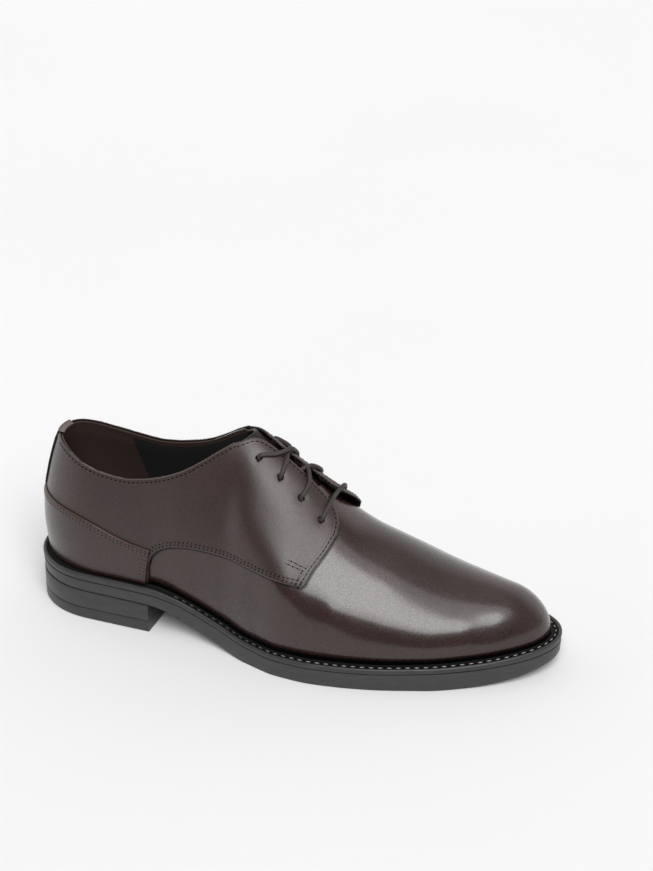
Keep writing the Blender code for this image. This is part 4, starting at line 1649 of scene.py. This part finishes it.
def tab_seams(side):
    """Short rows that lock the quarter's front corner."""
    rows = []
    for (x_from, across_from), (x_to, across_to) in TAB_ROWS:
        x = np.linspace(x_from, x_to, 20)
        across = side * np.linspace(across_from, across_to, 20)
        rows.append(skin(way_of(x), across, quarter_top(x, across)))
    return rows


def heel_seams(side):
    """Two rows under the heel panel's top edge, and two behind its front edge."""
    x = way_x(np.linspace(way_of(UPPER_BACK + 0.03), way_of(77.0), 200))
    heel = side * across_at(x, curve(COUNTER_TOP, "top", x))
    rows = [seam(way_of(x), heel, side * gap, counter_top) for gap in PANEL_ROWS]
    way, across = counter_place(side, COUNTER_FRONT, np.linspace(0.12, 0.86, 60))
    return rows + [seam(way, across, -side * gap, counter_top) for gap in FRONT_ROWS]


edge_seams = []
quarter_seams = []
panel_seams = []
for side in (-1, 1):
    edge_seams += [edge_seam(side), *tab_seams(side)]
    quarter_seams += low_seams(side)
    panel_seams += heel_seams(side)
on_quarters = len(edge_seams) + len(quarter_seams)
print(on_quarters, "seams on the quarters,", len(panel_seams), "on the heel panel")


# %% Tree for what repeats along a line
def repeat_tree():
    """Geometry nodes that set a small bead on every step of a line."""
    tree = bpy.data.node_groups.new("beads_on_a_line", "GeometryNodeTree")
    sockets = [("Line", "Geometry"), ("Step", "Float"), ("Long", "Float"), ("Thick", "Float")]
    for name, kind in [*sockets, ("Shift", "Float"), ("Finish", "Material")]:
        tree.interface.new_socket(name=name, in_out="INPUT", socket_type="NodeSocket" + kind)
    tree.interface.new_socket(name="Beads", in_out="OUTPUT", socket_type="NodeSocketGeometry")
    graph = Graph(tree)
    given = tree.nodes.new("NodeGroupInput")
    take = {socket.name: Value(graph, socket) for socket in given.outputs if socket.name}
    line = graph.add("GeometryNodeMeshToCurve", {}, {"Mesh": take["Line"]})
    inputs = {"Curve": line, "Length": take["Step"]}
    steps = graph.add("GeometryNodeResampleCurve", {"mode": "LENGTH"}, inputs)
    inputs = {"Segments": 6, "Rings": 5, "Radius": 0.5}
    ball = graph.add("GeometryNodeMeshUVSphere", {}, inputs, "Mesh")
    size = graph.add("ShaderNodeCombineXYZ", {}, (take["Long"], take["Thick"], take["Thick"]))
    move = graph.add("ShaderNodeCombineXYZ", {}, (take["Shift"],))
    inputs = {"Geometry": ball, "Scale": size, "Translation": move}
    bead = graph.add("GeometryNodeTransform", {}, inputs)
    tangent = graph.add("GeometryNodeInputTangent")
    turned = graph.add("FunctionNodeAlignRotationToVector", {"axis": "X"}, {"Vector": tangent})
    inputs = {"Points": steps, "Instance": bead, "Rotation": turned}
    beads = graph.add("GeometryNodeInstanceOnPoints", {}, inputs)
    plain = graph.add("GeometryNodeRealizeInstances", {}, {"Geometry": beads})
    smooth = graph.add("GeometryNodeSetShadeSmooth", {}, {"Geometry": plain})
    inputs = {"Geometry": smooth, "Material": take["Finish"]}
    done = graph.add("GeometryNodeSetMaterial", {}, inputs)
    result = tree.nodes.new("NodeGroupOutput")
    tree.links.new(done.socket, result.inputs["Beads"])
    return tree


BEADS = repeat_tree()
print("tree for beads has", len(BEADS.nodes), "nodes")


# %% Stitches and needle holes
def row_of_beads(name, lines, step, long, thick, shift, look, slot):
    """One piece with beads along all the given lines."""
    mesh = bpy.data.meshes.new(name)
    points = np.concatenate(lines)
    ends = np.cumsum([len(line) for line in lines])
    links = [(k, k + 1) for k in range(len(points) - 1) if k + 1 not in ends]
    mesh.from_pydata(place(points).tolist(), links, [])
    thing = put(name, mesh)
    change = thing.modifiers.new("beads", "NODES")
    change.node_group = BEADS
    wanted = {"Step": step, "Long": long, "Thick": thick, "Shift": shift}
    for item in BEADS.interface.items_tree:
        if item.in_out == "INPUT" and item.name in wanted:
            change[item.identifier] = wanted[item.name] * 0.001
        if item.in_out == "INPUT" and item.name == "Finish":
            change[item.identifier] = look
    plain_mesh(thing, change)
    return finish(thing, slot)


def sew(name, lines, step, thread, thread_size, hole_size, shift, slot):
    """A seam as two pieces: its threads, and in each gap a bead of painted needle-hole shade."""
    row_of_beads(name + "_stitches", lines, step, *thread_size, 0.0, thread, slot)
    row_of_beads(name + "_needle_holes", lines, step, *hole_size, shift, hole_shade_look, slot)


side_slot = "lateral_leather"
low_thread = quarter_thread_look
sew("edge", edge_seams, 2.65, thread_look, (1.3, 0.5), (1.35, 0.78), 1.32, side_slot)
sew("quarter", quarter_seams, 2.5, low_thread, (1.6, 0.5), (1.1, 0.75), 1.25, side_slot)
sew("panel", panel_seams, 2.4, light_thread_look, (1.6, 0.5), (0.7, 0.5), 1.2, "counter_leather")

# %% [markdown]
# ## Welt seam
# A pale thick thread holds the welt. It lies in the channel behind the lip, from the waist of one
# side round the toe to the waist of the other, in stitches of about five millimetres.

# %% Welt stitches
SEAM_INSET = 3.3
SEAM_DROP = 0.62
SEAM_FROM = 93.0
seam_sides = []
for side in (-1, 1):
    x, y = outline(side, SEAM_INSET, 400)
    line = np.stack([x, y, feather_height(x) - SEAM_DROP], axis=-1)[x > SEAM_FROM]
    seam_sides.append(line)
welt_seam = np.concatenate([seam_sides[0], seam_sides[1][-2::-1]])
sew("welt", [welt_seam], 4.9, welt_thread_look, (2.8, 0.5), (1.1, 0.9), 2.45, "welt_rubber")

# %% [markdown]
# ## Floor, light and camera
# The shoe stands on a pale floor in soft studio light: two large round lamps above the camera's
# side, a bright wall behind, another behind the heel, a glow overhead, and a dim room behind the
# camera, which leaves dark bands between the soft highlights. Lamps near the shoe would light the
# floor in a spot; as sun lamps they are far away, so the floor is lit evenly and only the shoe
# shades it.

# %% Floor
PAPER = ((0.815, 0.815, 0.815), (0.825, 0.825, 0.825))
PAPER_DULL = {"IOR": 1.3, "Specular IOR Level": 0.1}
floor_mesh = bpy.data.meshes.new("floor")
reach = 6.0
corners = [(-reach, -reach, 0), (reach, -reach, 0), (reach, reach, 0), (-reach, reach, 0)]
floor_mesh.from_pydata(corners, [], [(0, 1, 2, 3)])
floor = put("floor", floor_mesh)
floor_mesh.materials.append(look_of("floor_paper", PAPER_DULL, plain_paint(*PAPER, 3.0, 0.9)))
floor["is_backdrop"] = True
print("floor", 2 * reach, "m wide")


# %% Lamps
def soft_lamp(name, side, height, wide, strength):
    """A far, round lamp: side is its angle from the back over the toe, wide its angle across."""
    light = bpy.data.lights.new(name, "SUN")
    light.angle = math.radians(wide)
    light.energy = strength
    thing = put(name, light)
    flat = math.cos(math.radians(height))
    turn = math.radians(side)
    rise = math.sin(math.radians(height))
    toward = Vector((math.sin(turn) * flat, math.cos(turn) * flat, rise))
    thing.rotation_mode = "QUATERNION"
    thing.rotation_quaternion = (-toward).to_track_quat("-Z", "Y")
    print(name, height, "degrees up,", wide, "degrees across")


soft_lamp("softbox", 153.0, 46.0, 40.0, 2.2)
soft_lamp("overhead", 140.0, 56.0, 44.0, 0.7)

# %% Room
ROOM_DIM = 0.042
BLACK = (0.0, 0.0, 0.0)
WHITE = (1.0, 1.0, 1.0)
world = bpy.data.worlds.new("studio")
bpy.context.scene.world = world
world.use_nodes = True
sky = Graph(world.node_tree)
ground = world.node_tree.nodes["Background"]
direction = sky.add("ShaderNodeTexCoord", {}, (), "Generated")
height = sky.part(direction, "Z")
back = sky.part(direction, "Y")
side = sky.part(direction, "X")
back_wall = back.ramp(-0.75, 0.1) * 0.32 + back.ramp(0.2, 0.85) * 0.55
heel_wall = side.ramp(-0.6, -0.95) * 0.95
glow = back_wall * (1 - height.ramp(0.45, 0.95) * 0.5) + ROOM_DIM
glow = glow + heel_wall + height.ramp(0.75, 0.95) * 0.45
world.node_tree.links.new(sky.mix(glow, BLACK, WHITE).socket, ground.inputs["Color"])
ground.inputs["Strength"].default_value = 1.0
bpy.context.scene.view_settings.view_transform = "Standard"
print("room of", len(world.node_tree.nodes), "nodes")

# %% Camera
PICTURE_HEIGHT = 871
FOCAL_PIXELS = 2717.7
camera_data = bpy.data.cameras.new("camera")
camera_data.sensor_width = 36.0
camera_data.lens = FOCAL_PIXELS / PICTURE_HEIGHT * camera_data.sensor_width
camera = put("camera", camera_data)
CAMERA_AT = (627.6, -1194.94, 818.75)
LOOKED_AT = (155.19, 35.73, 103.02)
camera.location = place(CAMERA_AT).tolist()
target = place(LOOKED_AT)
camera.rotation_mode = "QUATERNION"
camera.rotation_quaternion = (Vector(target.tolist()) - camera.location).to_track_quat("-Z", "Y")
bpy.context.scene.camera = camera
print("lens", round(camera_data.lens, 2), "mm at", [round(v, 3) for v in camera.location], "m")

# %% Sizes and the end
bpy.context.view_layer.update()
triangles = 0
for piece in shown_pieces():
    piece.data.calc_loop_triangles()
    triangles += len(piece.data.loop_triangles)
print("triangles in all:", triangles)
